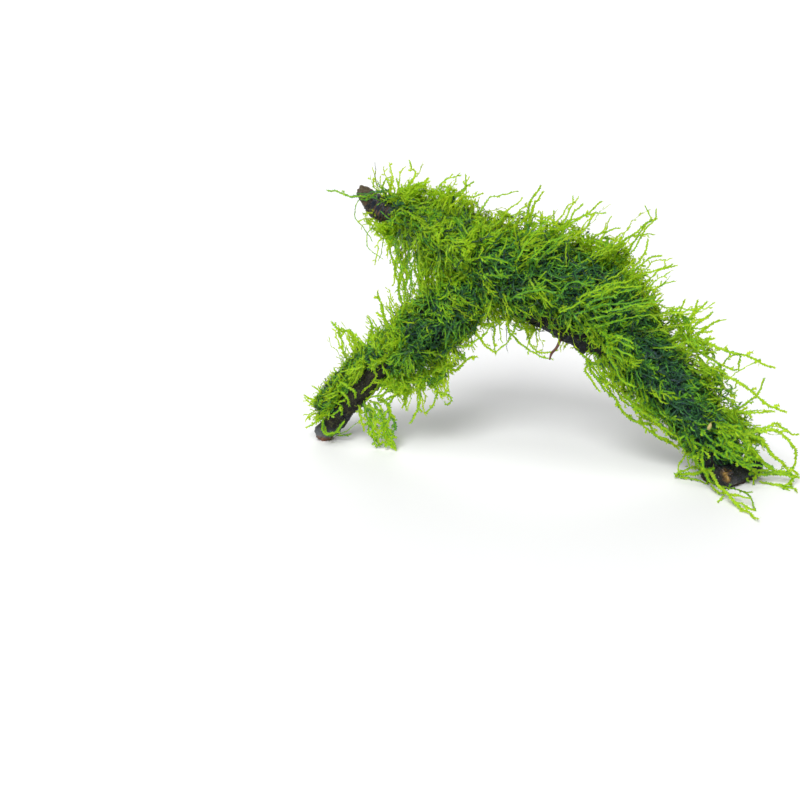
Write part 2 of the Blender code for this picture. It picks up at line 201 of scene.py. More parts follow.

# How each wad grows: its line and the tips of its sprays, its seed, how bright it is, how much of its radius
# its strands and its mat fill, which way the strands run on top, at the sides and below, how many its layers
# have and how many go to each tip, the range of their lengths, and its rolls. A roll has a line, the numbers
# of strands of its cover and of its net, and how much brighter it is, partly as fresher growth and partly as
# painted rim light
WADS = {
    "moss_crest": {
        "line": CREST, "tips": CREST_TIPS, "seed": 11, "tone": 0.60, "body": 0.98, "mat": 1.0,
        "top": (0.62, 0.0, 0.62), "side": (0.86, 0.0, 0.34), "under": (0.15, 0.0, -0.9),
        "outer": 860, "net": 3300, "inner": 5200, "sprigs": 170, "spray": 3, "length": (16, 40),
        "rolls": [(CREST_EDGE, 90, 100, 0.2), (CREST_RIM, 170, 140, 0.24)],
    },
    "moss_right_leg": {
        "line": RIGHT_LEG, "tips": RIGHT_LEG_TIPS, "seed": 12, "tone": 0.50, "body": 0.97, "mat": 1.0,
        "top": (0.95, 0.0, -0.12), "side": (0.66, 0.0, -0.68), "under": (0.42, 0.0, -0.88),
        "outer": 860, "net": 3200, "inner": 5000, "sprigs": 100, "spray": 3, "length": (16, 40),
        "rolls": [(RIGHT_LEG_EDGE, 150, 130, 0.18), (RIGHT_LEG_RIM, 190, 160, 0.24)],
    },
    "moss_stub": {
        "line": ON_STUB, "tips": STUB_TIPS, "seed": 13, "tone": 0.87, "body": 0.95, "mat": 1.0,
        "top": (0.35, 0.0, 0.9), "side": (0.55, 0.0, 0.25), "under": (-0.12, 0.0, -1.0),
        "outer": 520, "net": 1700, "inner": 2400, "sprigs": 110, "spray": 5, "length": (14, 32),
        "rolls": [(STUB_EDGE, 75, 90, 0.12), (STUB_RIM, 90, 80, 0.2)],
    },
    "moss_left_leg": {
        "line": ON_LEFT_LEG, "tips": LEFT_LEG_TIPS, "seed": 14, "tone": 0.63, "body": 0.96, "mat": 0.9,
        "top": (-0.5, 0.0, 0.78), "side": (-0.1, 0.0, -0.45), "under": (0.25, 0.0, -1.0),
        "outer": 620, "net": 2200, "inner": 3000, "sprigs": 130, "spray": 8, "length": (12, 28),
        "rolls": [(LEFT_LEG_FRONT, 170, 220, 0.20), (LEFT_LEG_EDGE, 190, 170, 0.18)],
    },
}

# The layers of a wad: how many strands a lock has, how far out their tips lie as a share of the radius and
# how much deeper a strand of a lock may lie, the lengths where they aren't the wad's own, how much noise
# turns the strands, how much they run with the combed ways and outwards, how much each lock and each strand
# turns by chance, how much the ends rise, how uneven the curves are and how much they wave, how much brighter
# the layer is than its wad (darker inside, partly as painted shade, and lighter on the sprigs, partly as
# painted rim light), what share of it is missing in thin places with painted shade, and how wide its
# strands are
LAYERS = {
    "inner": {
        "lock": 1, "depth": (0.38, 0.72), "length": (7, 13), "swirl": 1.2, "combed": 1.0, "outward": 0.0,
        "shared": 0.0, "spread": 1.0, "rise": (-0.3, 0.5), "stray": 0.25, "bend": 0.5,
        "age_and_light": -0.22, "thin": 0.1, "width": 0.66,
    },
    "net": {
        "lock": 3, "depth": (0.56, 0.90), "sink": 0.06, "length": (9, 20), "swirl": 1.1, "combed": 1.0,
        "outward": 0.0, "shared": 0.85, "spread": 0.38, "rise": (-0.3, 0.35), "stray": 0.18, "bend": 0.45,
        "age_and_light": -0.13, "thin": 0.7, "width": 0.84,
    },
    "outer": {
        "lock": 6, "depth": (0.64, 1.02), "sink": 0.08, "swirl": 0.9, "combed": 1.0, "outward": 0.0,
        "shared": 0.5, "spread": 0.2, "rise": (-0.25, 0.40), "stray": 0.12, "bend": 0.35,
        "age_and_light": 0.12, "thin": 0.93, "width": 1.0,
    },
    "sprigs": {
        "lock": 2, "depth": (0.92, 1.16), "swirl": 0.9, "combed": 0.6, "outward": 0.8,
        "shared": 0.6, "spread": 0.3, "rise": (0.0, 0.7), "stray": 0.12, "bend": 0.35,
        "age_and_light": 0.26, "thin": 1.0, "width": 1.0,
    },
}

# The strands of a roll: how long they are beside a wad's, and how far from a root their colours start
ROLL_LENGTH = 0.65
ROLL_START = 0.4

# The fewest joints of a strand, how long the side shoots of a wad's strands are in millimetres, and the
# waves of a strand: how long they are in millimetres, and how high as a share of its bend
FEWEST_JOINTS = 5
SHOOT_LENGTH = 4.6
WAVES = ((19.0, 1.0), (9.0, 0.30), (4.0, 0.06))

# How many times more strands are tried than grown, because those on bare places, or on thin places with
# painted shade, are left out
SPARE = 1.35

# How far a combed way reaches, in millimetres, how much a wad's own way counts beside them, and the ways
# that the strands are combed: across, down, and the angle up from the right, in degrees
COMB_REACH = 13.0
OWN_SHARE = 0.12
COMBED = [
    (395, 190, 110), (415, 185, 80), (440, 190, 60), (465, 195, 55), (430, 220, -35), (462, 240, -42),
    (402, 250, -95), (418, 272, -85), (432, 296, -70), (490, 205, 50), (520, 215, 60), (545, 205, 62),
    (575, 215, 50), (600, 220, 40), (640, 240, 35), (500, 250, -100), (535, 250, 60), (505, 278, 10),
    (480, 285, -30), (470, 310, -60), (560, 285, -5), (585, 288, -18), (600, 304, 20), (640, 290, 17),
    (620, 322, 12), (655, 302, 15), (540, 310, -40), (510, 322, -60), (560, 330, -55), (590, 345, -62),
    (660, 268, 25), (700, 315, 45), (690, 345, -20), (660, 355, -35), (690, 372, -25), (722, 362, -15),
    (670, 402, -20), (700, 412, -10), (730, 402, -25), (742, 432, 0), (640, 382, -60), (620, 402, -55),
    (650, 430, -40), (690, 452, -70), (762, 450, -30), (610, 355, -75), (380, 328, 120), (402, 318, 60),
    (360, 350, 130), (420, 338, -20), (442, 328, 10), (402, 362, -70), (422, 382, -80), (440, 370, -20),
    (370, 364, 160), (345, 376, 150), (328, 396, 160),
]

# Sprigs that stand out, from root to tip: the depth at the root and at the tip, the width as a share, the
# number of side shoots, the points across and down, and how bright it is where that isn't the usual tone
SPRIG_TONE = 0.77
SPRIGS = {
    "moss_stub": [
        (3, 6, 1.1, 3, [(386, 191), (365, 197), (352, 196), (340, 193), (326, 190)], 0.62),
        (1, 0, 0.7, 2, [(384, 194), (376, 191), (366, 193), (356, 194)], 0.30),
        (-2, 0, 0.6, 1, [(380, 200), (372, 198), (366, 200), (360, 199)], 0.34),
        (-4, -4, 0.7, 1, [(404, 224), (394, 221), (386, 217), (381, 212)], 0.42),
        (-4, -6, 0.9, 2, [(408, 216), (400, 214), (394, 219), (390, 225)], 0.5),
        (2, 0, 0.5, 1, [(398, 200), (390, 198), (384, 201), (376, 205)], 0.28),
        (8, 8, 0.3, 0, [(381, 190), (377, 186), (376, 175), (374, 163)]),
        (8, 8, 1.0, 2, [(386, 196), (383, 188), (386, 180), (390, 176)]),
        (4, 4, 0.5, 1, [(362, 199), (356, 203), (355, 215), (362, 228), (372, 240)], 0.58),
        (4, 4, 0.5, 0, [(374, 222), (367, 235), (370, 250), (382, 257)], 0.58),
        (4, 4, 0.5, 0, [(388, 236), (383, 245), (380, 262)], 0.58),
        (8, 10, 1.1, 3, [(404, 204), (404, 194), (409, 184), (415, 172), (412, 168), (408, 160)]),
        (8, 8, 1.0, 1, [(408, 204), (404, 194), (400, 188), (395, 178)]),
        (8, 8, 0.9, 2, [(404, 200), (400, 197), (392, 193), (382, 187), (377, 180)], 0.5),
        (8, 10, 1.3, 3, [(406, 200), (412, 188), (420, 183), (429, 180)]),
        (8, 12, 1.1, 4, [(430, 202), (438, 188), (448, 178), (460, 175)]),
        (6, 10, 1.1, 3, [(450, 208), (458, 196), (463, 190), (466, 176)]),
        (8, 12, 1.1, 2, [(452, 200), (463, 190), (468, 186), (474, 183)]),
        (8, 12, 1.1, 3, [(456, 208), (464, 198), (474, 195), (483, 193)]),
        (6, 6, 1.0, 3, [(398, 232), (391, 248), (393, 262), (397, 276), (399, 292), (404, 308)]),
        (2, 2, 1.0, 4, [(402, 232), (398, 250), (403, 266), (407, 282), (404, 300), (410, 314)]),
        (10, 10, 1.0, 3, [(408, 236), (408, 254), (403, 270), (405, 288), (412, 306)]),
    ],
    "moss_crest": [
        (6, 6, 1.3, 4, [(518, 244), (527, 228), (528, 210), (534, 196), (541, 185)]),
        (5, 8, 1.3, 3, [(520, 240), (529, 222), (534, 208), (543, 192)]),
        (8, 10, 1.3, 5, [(466, 230), (478, 212), (490, 198), (504, 194), (518, 192)]),
        (10, 10, 1.0, 2, [(560, 228), (569, 210), (573, 204), (574, 196)]),
        (10, 10, 1.1, 2, [(564, 230), (574, 214), (582, 205)]),
        (10, 14, 1.1, 5, [(552, 232), (568, 222), (580, 218), (592, 210), (603, 202)]),
        (6, 10, 1.1, 3, [(564, 230), (578, 219), (592, 214), (604, 212)]),
        (8, 8, 1.0, 2, [(546, 242), (553, 226), (555, 211)]),
        (8, 8, 1.3, 1, [(539, 238), (542, 222), (541, 211)]),
        (12, 12, 0.9, 1, [(600, 242), (607, 230), (608, 222), (611, 215)]),
        (12, 12, 0.9, 1, [(594, 238), (608, 230), (620, 228)]),
        (8, 12, 1.1, 4, [(602, 262), (618, 248), (624, 242), (636, 232), (648, 224), (657, 218)]),
        (12, 12, 0.9, 0, [(644, 227), (650, 219), (646, 206)]),
        (12, 12, 0.9, 0, [(650, 223), (654, 218), (655, 209)]),
        (10, 10, 0.9, 1, [(626, 240), (640, 235), (654, 235)]),
        (10, 12, 1.1, 3, [(626, 276), (640, 262), (646, 250), (649, 240)]),
        (8, 10, 1.1, 3, [(626, 276), (640, 266), (650, 258), (661, 256)]),
        (8, 10, 1.1, 4, [(632, 278), (648, 272), (664, 270), (673, 264)]),
        (8, 10, 0.9, 0, [(658, 271), (668, 268), (677, 267)]),
        (10, 10, 1.1, 2, [(642, 296), (658, 286), (667, 280)]),
        (-6, -4, 1.1, 5, [(432, 314), (440, 326), (452, 340), (466, 346), (480, 338), (492, 324)]),
        (-4, -4, 1.3, 2, [(474, 328), (482, 342), (495.6, 353)]),
        (-4, -4, 1.0, 2, [(516, 326), (508, 340), (495.6, 353)]),
        (-2, -4, 1.3, 2, [(494, 316), (494, 332), (495.6, 353)]),
        (0, 0, 1.1, 4, [(508, 326), (516, 338), (526, 348), (540, 355), (552, 359)]),
        (2, 0, 1.0, 2, [(530, 338), (538, 351), (558, 350)]),
        (0, 0, 0.3, 0, [(506, 332), (508, 352)]),
        (-26, -20, 1.0, 6, [(572, 314), (600, 306), (632, 302), (655, 298)], 0.5),
        (-26, -22, 1.0, 5, [(582, 306), (612, 296), (640, 288)], 0.46),
        (-27, -22, 1.0, 5, [(588, 320), (620, 312), (652, 306)], 0.52),
        (-28, -26, 1.0, 3, [(552, 304), (570, 284), (594, 286)], 0.5),
        (-26, -26, 1.1, 4, [(482, 272), (496, 277), (512, 275)], 0.5),
        (-22, -24, 1.1, 4, [(528, 262), (540, 248), (560, 236)], 0.56),
        (-26, -21, 1.0, 5, [(578, 300), (604, 287), (632, 281)], 0.58),
        (-27, -22, 1.0, 5, [(592, 328), (618, 320), (650, 314)], 0.52),
        (-27, -23, 1.1, 5, [(560, 312), (584, 300), (612, 290), (640, 286)], 0.60),
        (-27, -22, 1.0, 4, [(602, 312), (630, 306), (662, 300)], 0.62),
        (-22, -16, 1.0, 4, [(516, 262), (528, 240), (546, 222)], 0.60),
        (-20, -14, 1.0, 4, [(536, 264), (552, 244), (572, 230)], 0.62),
        (-26, -24, 1.1, 5, [(508, 300), (530, 290), (556, 292)], 0.55),
        (-24, -22, 1.1, 5, [(470, 262), (488, 258), (508, 264)], 0.56),
    ],
    "moss_left_leg": [
        (-4, -3, 1.3, 3, [(392, 382), (386, 391), (379, 400)]),
        (-3, -3, 1.3, 3, [(401, 388), (394, 397), (388, 405)]),
        (-5, -3, 1.2, 3, [(382, 378), (375, 388), (368, 399)]),
        (-3, -2, 1.2, 2, [(408, 390), (404, 400), (402, 409)]),
        (-4, -2, 1.1, 2, [(390, 388), (383, 394), (372, 397), (364, 402)]),
        (6, 10, 1.3, 4, [(370, 350), (350, 332), (342, 330), (331, 322)]),
        (6, 8, 1.2, 3, [(352, 336), (341, 329), (342, 344), (348, 360)]),
        (6, 8, 1.3, 3, [(364, 354), (369, 340), (371, 326), (368, 316)]),
        (4, 8, 1.6, 4, [(390, 336), (386, 322), (381, 310), (378, 291)]),
        (0, 2, 1.4, 5, [(426, 350), (440, 365), (455, 370), (465, 360), (477, 357)]),
        (0, 0, 1.3, 3, [(426, 374), (437, 390), (446, 394), (451, 399), (448, 403), (444, 401)]),
        (-2, -2, 1.4, 4, [(430, 376), (438, 390), (436, 400), (430, 409), (425, 413)]),
        (-4, -4, 1.4, 4, [(420, 376), (420, 394), (418, 408), (414, 418), (410, 423)]),
        (0, 0, 1.3, 3, [(404, 376), (405, 394), (405, 410)]),
        (4, 4, 1.4, 4, [(426, 356), (438, 374), (447, 389)]),
        (10, 8, 1.2, 3, [(336, 398), (318, 400), (311, 399), (305, 395)]),
        (10, 8, 1.2, 2, [(334, 402), (324, 394), (316, 387)]),
        (10, 10, 1.2, 2, [(344, 394), (336, 387), (330, 381)]),
        (10, 10, 1.2, 2, [(352, 388), (340, 378), (334, 368)]),
        (10, 8, 1.2, 2, [(356, 380), (348, 370), (343, 363)]),
        (4, 2, 1.2, 2, [(330, 412), (314, 424), (306, 428)]),
        (-6, -9, 1.5, 2, [(338, 380), (346, 384), (352, 390), (355, 398)], 0.66),
        (-6, -8, 1.6, 1, [(334, 392), (342, 394), (347, 399), (349, 406)], 0.72),
        (-6, -8, 1.5, 2, [(332, 402), (338, 404), (342, 409), (341, 416)], 0.66),
        (-8, -7, 1.2, 1, [(330, 416), (336, 413), (341, 406)], 0.66),
        (-7, -8, 1.2, 0, [(321, 424), (322, 430), (326, 434), (331, 433)], 0.64),
        (-6, -6, 1.5, 2, [(326, 434), (333, 434), (339, 428), (344, 422)], 0.62),
        (-9, -8, 1.2, 2, [(372, 362), (376, 374), (370, 384), (362, 392)]),
        (-9, -8, 1.1, 1, [(362, 364), (360, 374), (352, 384)]),
        (-9, -10, 1.3, 3, [(384, 366), (388, 376), (384, 388), (378, 394)]),
    ],
    "moss_right_leg": [
        (8, 14, 1.6, 7, [(676, 338), (702, 342), (718, 348), (738, 354), (756, 360), (775, 369)], 0.84),
        (14, 14, 0.6, 0, [(757, 361), (759, 367)]),
        (6, 10, 1.6, 6, [(690, 372), (718, 376), (738, 382), (754, 394), (766, 404), (787, 413)], 0.84),
        (10, 12, 1.2, 1, [(755, 396), (760, 390), (765, 378)]),
        (4, 10, 1.4, 5, [(706, 410), (730, 411), (750, 412), (775, 411)], 0.84),
        (12, 12, 1.2, 1, [(736, 354), (739, 362), (739, 370)]),
        (6, 10, 1.2, 3, [(696, 352), (718, 364), (728, 368), (739, 370)]),
        (6, 14, 1.5, 2, [
            (742, 436), (763, 429), (770, 426), (777, 423), (784, 429), (791, 433), (799, 434),
        ], 0.74),
        (4, 12, 1.6, 1, [
            (748, 434), (769, 431), (779, 434), (789, 440), (794, 449), (796, 461), (794, 470), (799, 476),
        ], 0.78),
        (2, 10, 1.7, 2, [
            (746, 432), (761, 439), (769, 447), (776, 456), (784, 464), (793, 473), (798, 476),
        ], 0.72),
        (4, 12, 1.4, 2, [(742, 446), (752, 452), (762, 462), (774, 470), (790, 474)], 0.72),
        (0, 8, 1.6, 2, [
            (730, 468), (744, 472), (756, 474), (761, 473), (770, 473), (779, 474), (791, 474), (799, 477),
        ], 0.70),
        (8, 0, 1.4, 1, [(791, 474), (791, 483), (791, 491), (791, 500), (780, 506)], 0.82),
        (4, -2, 1.3, 0, [(791, 476), (789, 483), (784, 491), (789, 499)], 0.82),
        (0, -6, 1.3, 0, [(791, 498), (793, 504), (795, 511)], 0.78),
        (0, 0, 1.4, 1, [(748, 466), (756, 473), (754, 479), (754, 484)], 0.72),
        (2, 0, 1.1, 0, [(692, 448), (687, 456), (684, 460), (679, 467), (679, 474)], 0.74),
        (-6, 0, 1.9, 1, [(712, 467), (704, 470), (696, 474), (683, 473), (674, 474)], 0.70),
        (-2, -8, 1.3, 1, [
            (678, 474), (686, 483), (694, 487), (701, 488), (707, 484), (709, 477), (706, 470),
        ], 0.76),
        (0, -4, 0.8, 0, [(688, 454), (689, 464), (693, 469), (700, 470)]),
        (-8, -4, 1.6, 3, [(686, 432), (690, 444), (694, 456), (698, 466)], 0.6),
        (-10, -6, 1.5, 3, [(692, 440), (694, 450), (688, 458)], 0.6),
        (-14, -14, 1.5, 2, [(702, 450), (701, 460), (704, 470), (710, 480)], 0.62),
        (-12, -14, 1.5, 2, [(696, 456), (700, 466), (706, 475), (714, 484)], 0.66),
        (0, 4, 1.2, 3, [(586, 358), (596, 378), (608, 388), (622, 412), (638, 422), (656, 426)]),
        (-2, 4, 1.3, 5, [
            (590, 366), (602, 384), (616, 400), (630, 418), (648, 424), (658, 436), (676, 446),
        ]),
        (2, 2, 1.3, 1, [(586, 368), (594, 384), (600, 391)]),
        (10, 14, 1.4, 4, [(672, 346), (690, 320), (700, 310), (707, 303)]),
        (10, 14, 1.4, 4, [(680, 344), (700, 322), (714, 311)]),
        (8, 12, 1.3, 7, [(674, 336), (688, 324), (702, 319)], 0.86),
        (8, 12, 1.3, 7, [(680, 346), (696, 334), (711, 330)], 0.88),
        (6, 12, 1.3, 7, [(688, 352), (702, 343), (716, 339)], 0.84),
        (10, 14, 1.2, 6, [(678, 338), (692, 314), (698, 300)], 0.86),
        (8, 12, 1.4, 3, [(686, 348), (704, 330), (712, 323), (720, 320)]),
        (12, 14, 1.3, 2, [(670, 330), (680, 312), (684, 301)]),
        (10, 10, 1.3, 2, [(668, 326), (674, 314), (679, 306)]),
        (-24, -27, 2.4, 0, [(599, 327), (605, 336), (609, 345), (610, 351)], 0.55),
        (-27, -27, 1.4, 1, [(609, 351), (614, 366), (622, 380), (634, 387)], 0.62),
        (-27, -30, 1.3, 1, [(608, 338), (618, 336), (626, 339), (632, 343)], 0.62),
        (-27, -30, 1.3, 1, [(609, 342), (618, 342), (626, 345), (633, 349)], 0.62),
        (-27, -30, 1.3, 1, [(610, 346), (618, 349), (625, 352), (631, 356)], 0.62),
        (-27, -29, 1.2, 0, [(610, 350), (616, 355), (622, 361)], 0.62),
        (-2, 2, 1.3, 3, [(580, 348), (590, 362), (598, 374), (606, 386)]),
        (-4, 0, 1.3, 5, [(598, 366), (612, 386), (626, 402), (642, 414), (654, 424)]),
        (-6, 0, 1.2, 4, [(612, 378), (624, 394), (640, 408), (652, 418), (664, 432)]),
        (0, 2, 1.4, 4, [(640, 420), (654, 432), (668, 440), (680, 448)]),
        (-8, -6, 1.4, 4, [(628, 398), (644, 414), (660, 426), (676, 438), (684, 452)]),
        (-12, -8, 1.6, 4, [(690, 440), (706, 448), (724, 454), (744, 458)], 0.55),
        (-14, -8, 1.6, 4, [(706, 444), (722, 454), (742, 462), (762, 466)], 0.55),
        (-10, -4, 1.5, 4, [(716, 438), (736, 448), (752, 458), (772, 468)], 0.55),
        (-14, -10, 1.5, 6, [(716, 432), (724, 439), (734, 443), (745, 450)], 0.58),
        (-14, -9, 1.5, 6, [(718, 422), (726, 432), (739, 436), (752, 447)], 0.66),
        (-15, -8, 1.5, 7, [(720, 430), (729, 442), (743, 450), (754, 463)], 0.58),
        (-14, -8, 1.5, 7, [(722, 434), (731, 448), (745, 456), (752, 469)], 0.54),
        (-14, -6, 1.4, 6, [(726, 424), (739, 433), (749, 447), (761, 457)], 0.70),
        (-15, -10, 1.3, 2, [(702, 430), (712, 440), (726, 450), (740, 459)], 0.48),
        (-12, -6, 1.4, 6, [(734, 430), (747, 439), (755, 453), (764, 461)], 0.72),
        (-14, -10, 1.4, 6, [(716, 442), (729, 450), (739, 463), (749, 469)], 0.56),
    ],
}

# The bunch that hangs from the left leg to the floor, and the spray on the floor before the right foot,
# written like the sprigs
BUNCH = [
    (-1, -1, 1.2, 5, [(359, 399), (360, 408), (361, 417), (364, 430)], 0.72),
    (-1, -3, 1.5, 7, [(363, 400), (366, 412), (372, 424), (374, 437), (377, 448)], 0.52),
    (-1, -4, 1.3, 7, [(367, 401), (373, 412), (381, 424), (385, 436), (391, 441), (396, 451)], 0.95),
    (-2, -4, 1.6, 6, [(372, 402), (381, 412), (386, 426), (392, 437), (396, 447)], 0.54),
    (-2, -4, 1.7, 5, [(376, 398), (387, 404), (389, 411), (388, 422), (384, 433)], 0.56),
    (-3, -4, 1.4, 2, [(388, 416), (394, 420), (394, 427), (389, 433)], 0.56),
    (-3, -3, 0.8, 0, [(391, 419), (394, 420), (397, 420)], 0.7),
    (-3, -4, 1.4, 4, [(377, 447), (383, 443), (389, 446), (396, 451)], 0.60),
    (-2, -3, 1.2, 6, [(365, 404), (373, 412), (376, 428), (384, 438)], 0.96),
    (0, -1, 1.2, 6, [(371, 406), (372, 420), (385, 429), (390, 442)], 0.92),
    (0, -1, 1.3, 5, [(361, 402), (369, 413), (369, 430), (379, 444)], 0.52),
    (-1, -2, 1.0, 2, [(356, 399), (358, 405), (361, 412)], 0.80),
    (-2, -3, 1.2, 3, [(371, 432), (380, 434), (387, 441), (393, 445)], 0.85),
    (-3, -3, 1.1, 3, [(365, 408), (376, 413), (387, 423)], 0.5),
    (-3, -3, 1.1, 3, [(374, 441), (382, 436), (391, 430)], 0.5),
    (0, -1, 1.2, 4, [(368, 400), (378, 406), (384, 418), (380, 430)], 0.88),
    (2, 4, 0.9, 1, [(336, 436), (344, 435), (351, 433)], 0.5),
    (2, 6, 0.4, 0, [(334, 437), (348, 430), (360, 420)], 0.5),
]
FOOT_SPRAY = [
    (-12, -56, 1.4, 2, [
        (708, 470), (713, 478), (719, 487), (727, 494), (734, 503), (744, 511), (751, 518), (759, 519),
    ], 0.88),
    (-12, -40, 1.5, 2, [
        (706, 476), (713, 483), (724, 486), (733, 488), (741, 491), (749, 496), (754, 504), (756, 510),
    ], 0.78),
    (-14, -36, 1.2, 1, [(710, 484), (716, 491), (727, 493), (739, 496), (749, 498)], 0.86),
    (-30, -40, 1.2, 1, [(728, 494), (736, 502), (744, 505), (756, 510)], 0.84),
    (-26, -34, 1.1, 0, [(725, 494), (720, 500), (720, 504)], 0.8),
    (-30, -30, 1.0, 0, [(745, 494), (749, 492), (752, 490)], 0.76),
]

# Strands that hang from the stub's moss down to the left leg's: how many there are, and the lines that they
# start from and reach for
CURTAIN_STRANDS = 58
CURTAIN_TOP = [(396, 226), (410, 234), (426, 240), (442, 246)]
CURTAIN_END = [(402, 316), (412, 310), (426, 304), (442, 300)]

# The kinds of bark: how reddish each is, and the colour of its painted glints
BARKS = {
    "wet_bark": (0.06, (0.080, 0.084, 0.034)),
    "black_bark": (0.0, (0.034, 0.042, 0.064)),
    "dry_bark": (0.55, (0.125, 0.120, 0.066)),
}

# The limbs: centre line, knots, the size of the bark's faces and the height of its ridges as shares of the
# settings, whether the limb is cut level at the floor, and its kind of bark
LIMBS = {
    "driftwood_trunk": (TRUNK, TRUNK_KNOTS, 1.2, 1.3, True, "black_bark"),
    "driftwood_stub": (STUB, STUB_KNOTS, 1.0, 1.0, False, "dry_bark"),
    "driftwood_left_leg": (LEFT_LEG, LEG_KNOTS, 1.0, 1.2, True, "wet_bark"),
    "driftwood_foot_spur": (FOOT_SPUR, [], 0.9, 0.9, True, "black_bark"),
}

# The broken end of the spur: the middle of its heart, in metres, the way that its face looks, how squarely a
# face must look that way and how near, in metres, it must lie to belong to it
HEART = (0.1155, -0.0145, 0.0105)
CUT_WAY = (-0.1, -1.0, 0.1)
CUT_LEAST = 0.3
CUT_REACH = 0.011


def seen_at(across, down, depth):
    """The place in the frame, in millimetres, that the picture shows at a point, at a given y."""
    scale = CAMERA_LENS / CAMERA_SENSOR * PICTURE
    turn, drop = CAMERA_TURN, CAMERA_DROP
    back = Vector((math.sin(turn) * math.cos(drop), -math.cos(turn) * math.cos(drop), math.sin(drop)))
    right = Vector((math.cos(turn), math.sin(turn), 0))
    over = back.cross(right)
    way = right * ((across - PICTURE / 2) / scale) + over * ((PICTURE / 2 - down) / scale) - back
    start = Vector(CAMERA_PLACE) / MM
    return start + way * ((depth - start.y) / way.y)


def deselect():
    """Leave nothing selected."""
    bpy.ops.object.select_all(action="DESELECT")


def pick_only(item):
    """Select one object alone, and make it the active one."""
    deselect()
    item.select_set(True)
    bpy.context.view_layer.objects.active = item


def settle(item, material, node=None):
    """Give a finished piece its material, its body and its place in the part."""
    item.data.materials.clear()
    item.data.materials.append(material)
    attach(item, "root")
    if node:
        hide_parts(node)


def smooth_line(line, count):
    """Evenly spread points on the smooth curve through (x, y, z, radius) points, and the curve's length."""
    points = np.array(line, float)
    padded = np.vstack([2 * points[0] - points[1], points, 2 * points[-1] - points[-2]])
    fine = []
    for index in range(len(points) - 1):
        a, b, c, d = padded[index : index + 4]
        for t in np.linspace(0, 1, SMOOTH_STEPS, endpoint=False):
            square = (2 * a - 5 * b + 4 * c - d) * t**2
            cube = (3 * b - a - 3 * c + d) * t**3
            fine.append(0.5 * (2 * b + (c - a) * t + square + cube))
    fine = np.array([*fine, points[-1]])
    steps = np.linalg.norm(np.diff(fine[:, :3], axis=0), axis=1)
    reach = np.concatenate([[0], np.cumsum(steps)])
    wanted = np.linspace(0, reach[-1], count)
    return np.stack([np.interp(wanted, reach, fine[:, axis]) for axis in range(4)], axis=1), reach[-1]


def unit(vectors):
    """Vectors brought to a length of one."""
    return vectors / np.maximum(np.linalg.norm(vectors, axis=-1, keepdims=True), 1e-9)


def rings(line, count=160):
    """Centres, radii and the ways along, up and to the front at points on a line, and the line's length."""
    points, length = smooth_line(line, count)
    centre, radius = points[:, :3], points[:, 3]
    along = unit(np.gradient(centre, axis=0))
    top = unit(np.array([0.0, 0.0, 1.0]) - along * along[:, 2:3])
    front = unit(np.cross(top, along))
    front *= np.where(front[:, 1:2] > 0, -1.0, 1.0)
    return {"centre": centre, "radius": radius, "along": along, "top": top, "front": front, "length": length}


def nearest(places, centre, block=4000):
    """The index of the centre that lies nearest to each place, found block by block to save memory."""
    found = np.zeros(len(places), int)
    for start in range(0, len(places), block):
        part = places[start : start + block]
        apart = ((part[:, None, :] - centre[None]) ** 2).sum(axis=2)
        found[start : start + block] = apart.argmin(axis=1)
    return found


def lumps(places, size, seed=0.0):
    """Smooth noise from about -1 to 1 at each place."""
    shift = Vector((seed * 17.3, seed * 5.1, seed * 9.7))
    return np.array([noise.noise(Vector(place) / size + shift) for place in places])


def flows(places, size, seed):
    """Smooth noise directions at each place, from one noise for each axis."""
    return np.stack([lumps(places, size, seed + turn) for turn in (11.3, 27.9, 43.1)], axis=1)


class Flow:
    """A value on its way between shader nodes, which can be added and multiplied."""

    def __init__(self, paint, socket):
        self.paint = paint
        self.socket = socket

    def sum(self, operation, first, second):
        """The sum or the product of two values."""
        return self.paint.node("ShaderNodeMath", {"operation": operation}, {0: first, 1: second})

    def __add__(self, other):
        return self.sum("ADD", self, other)

    def __radd__(self, other):
        return self.sum("ADD", other, self)

    def __mul__(self, other):
        return self.sum("MULTIPLY", self, other)

    def __rmul__(self, other):
        return self.sum("MULTIPLY", other, self)


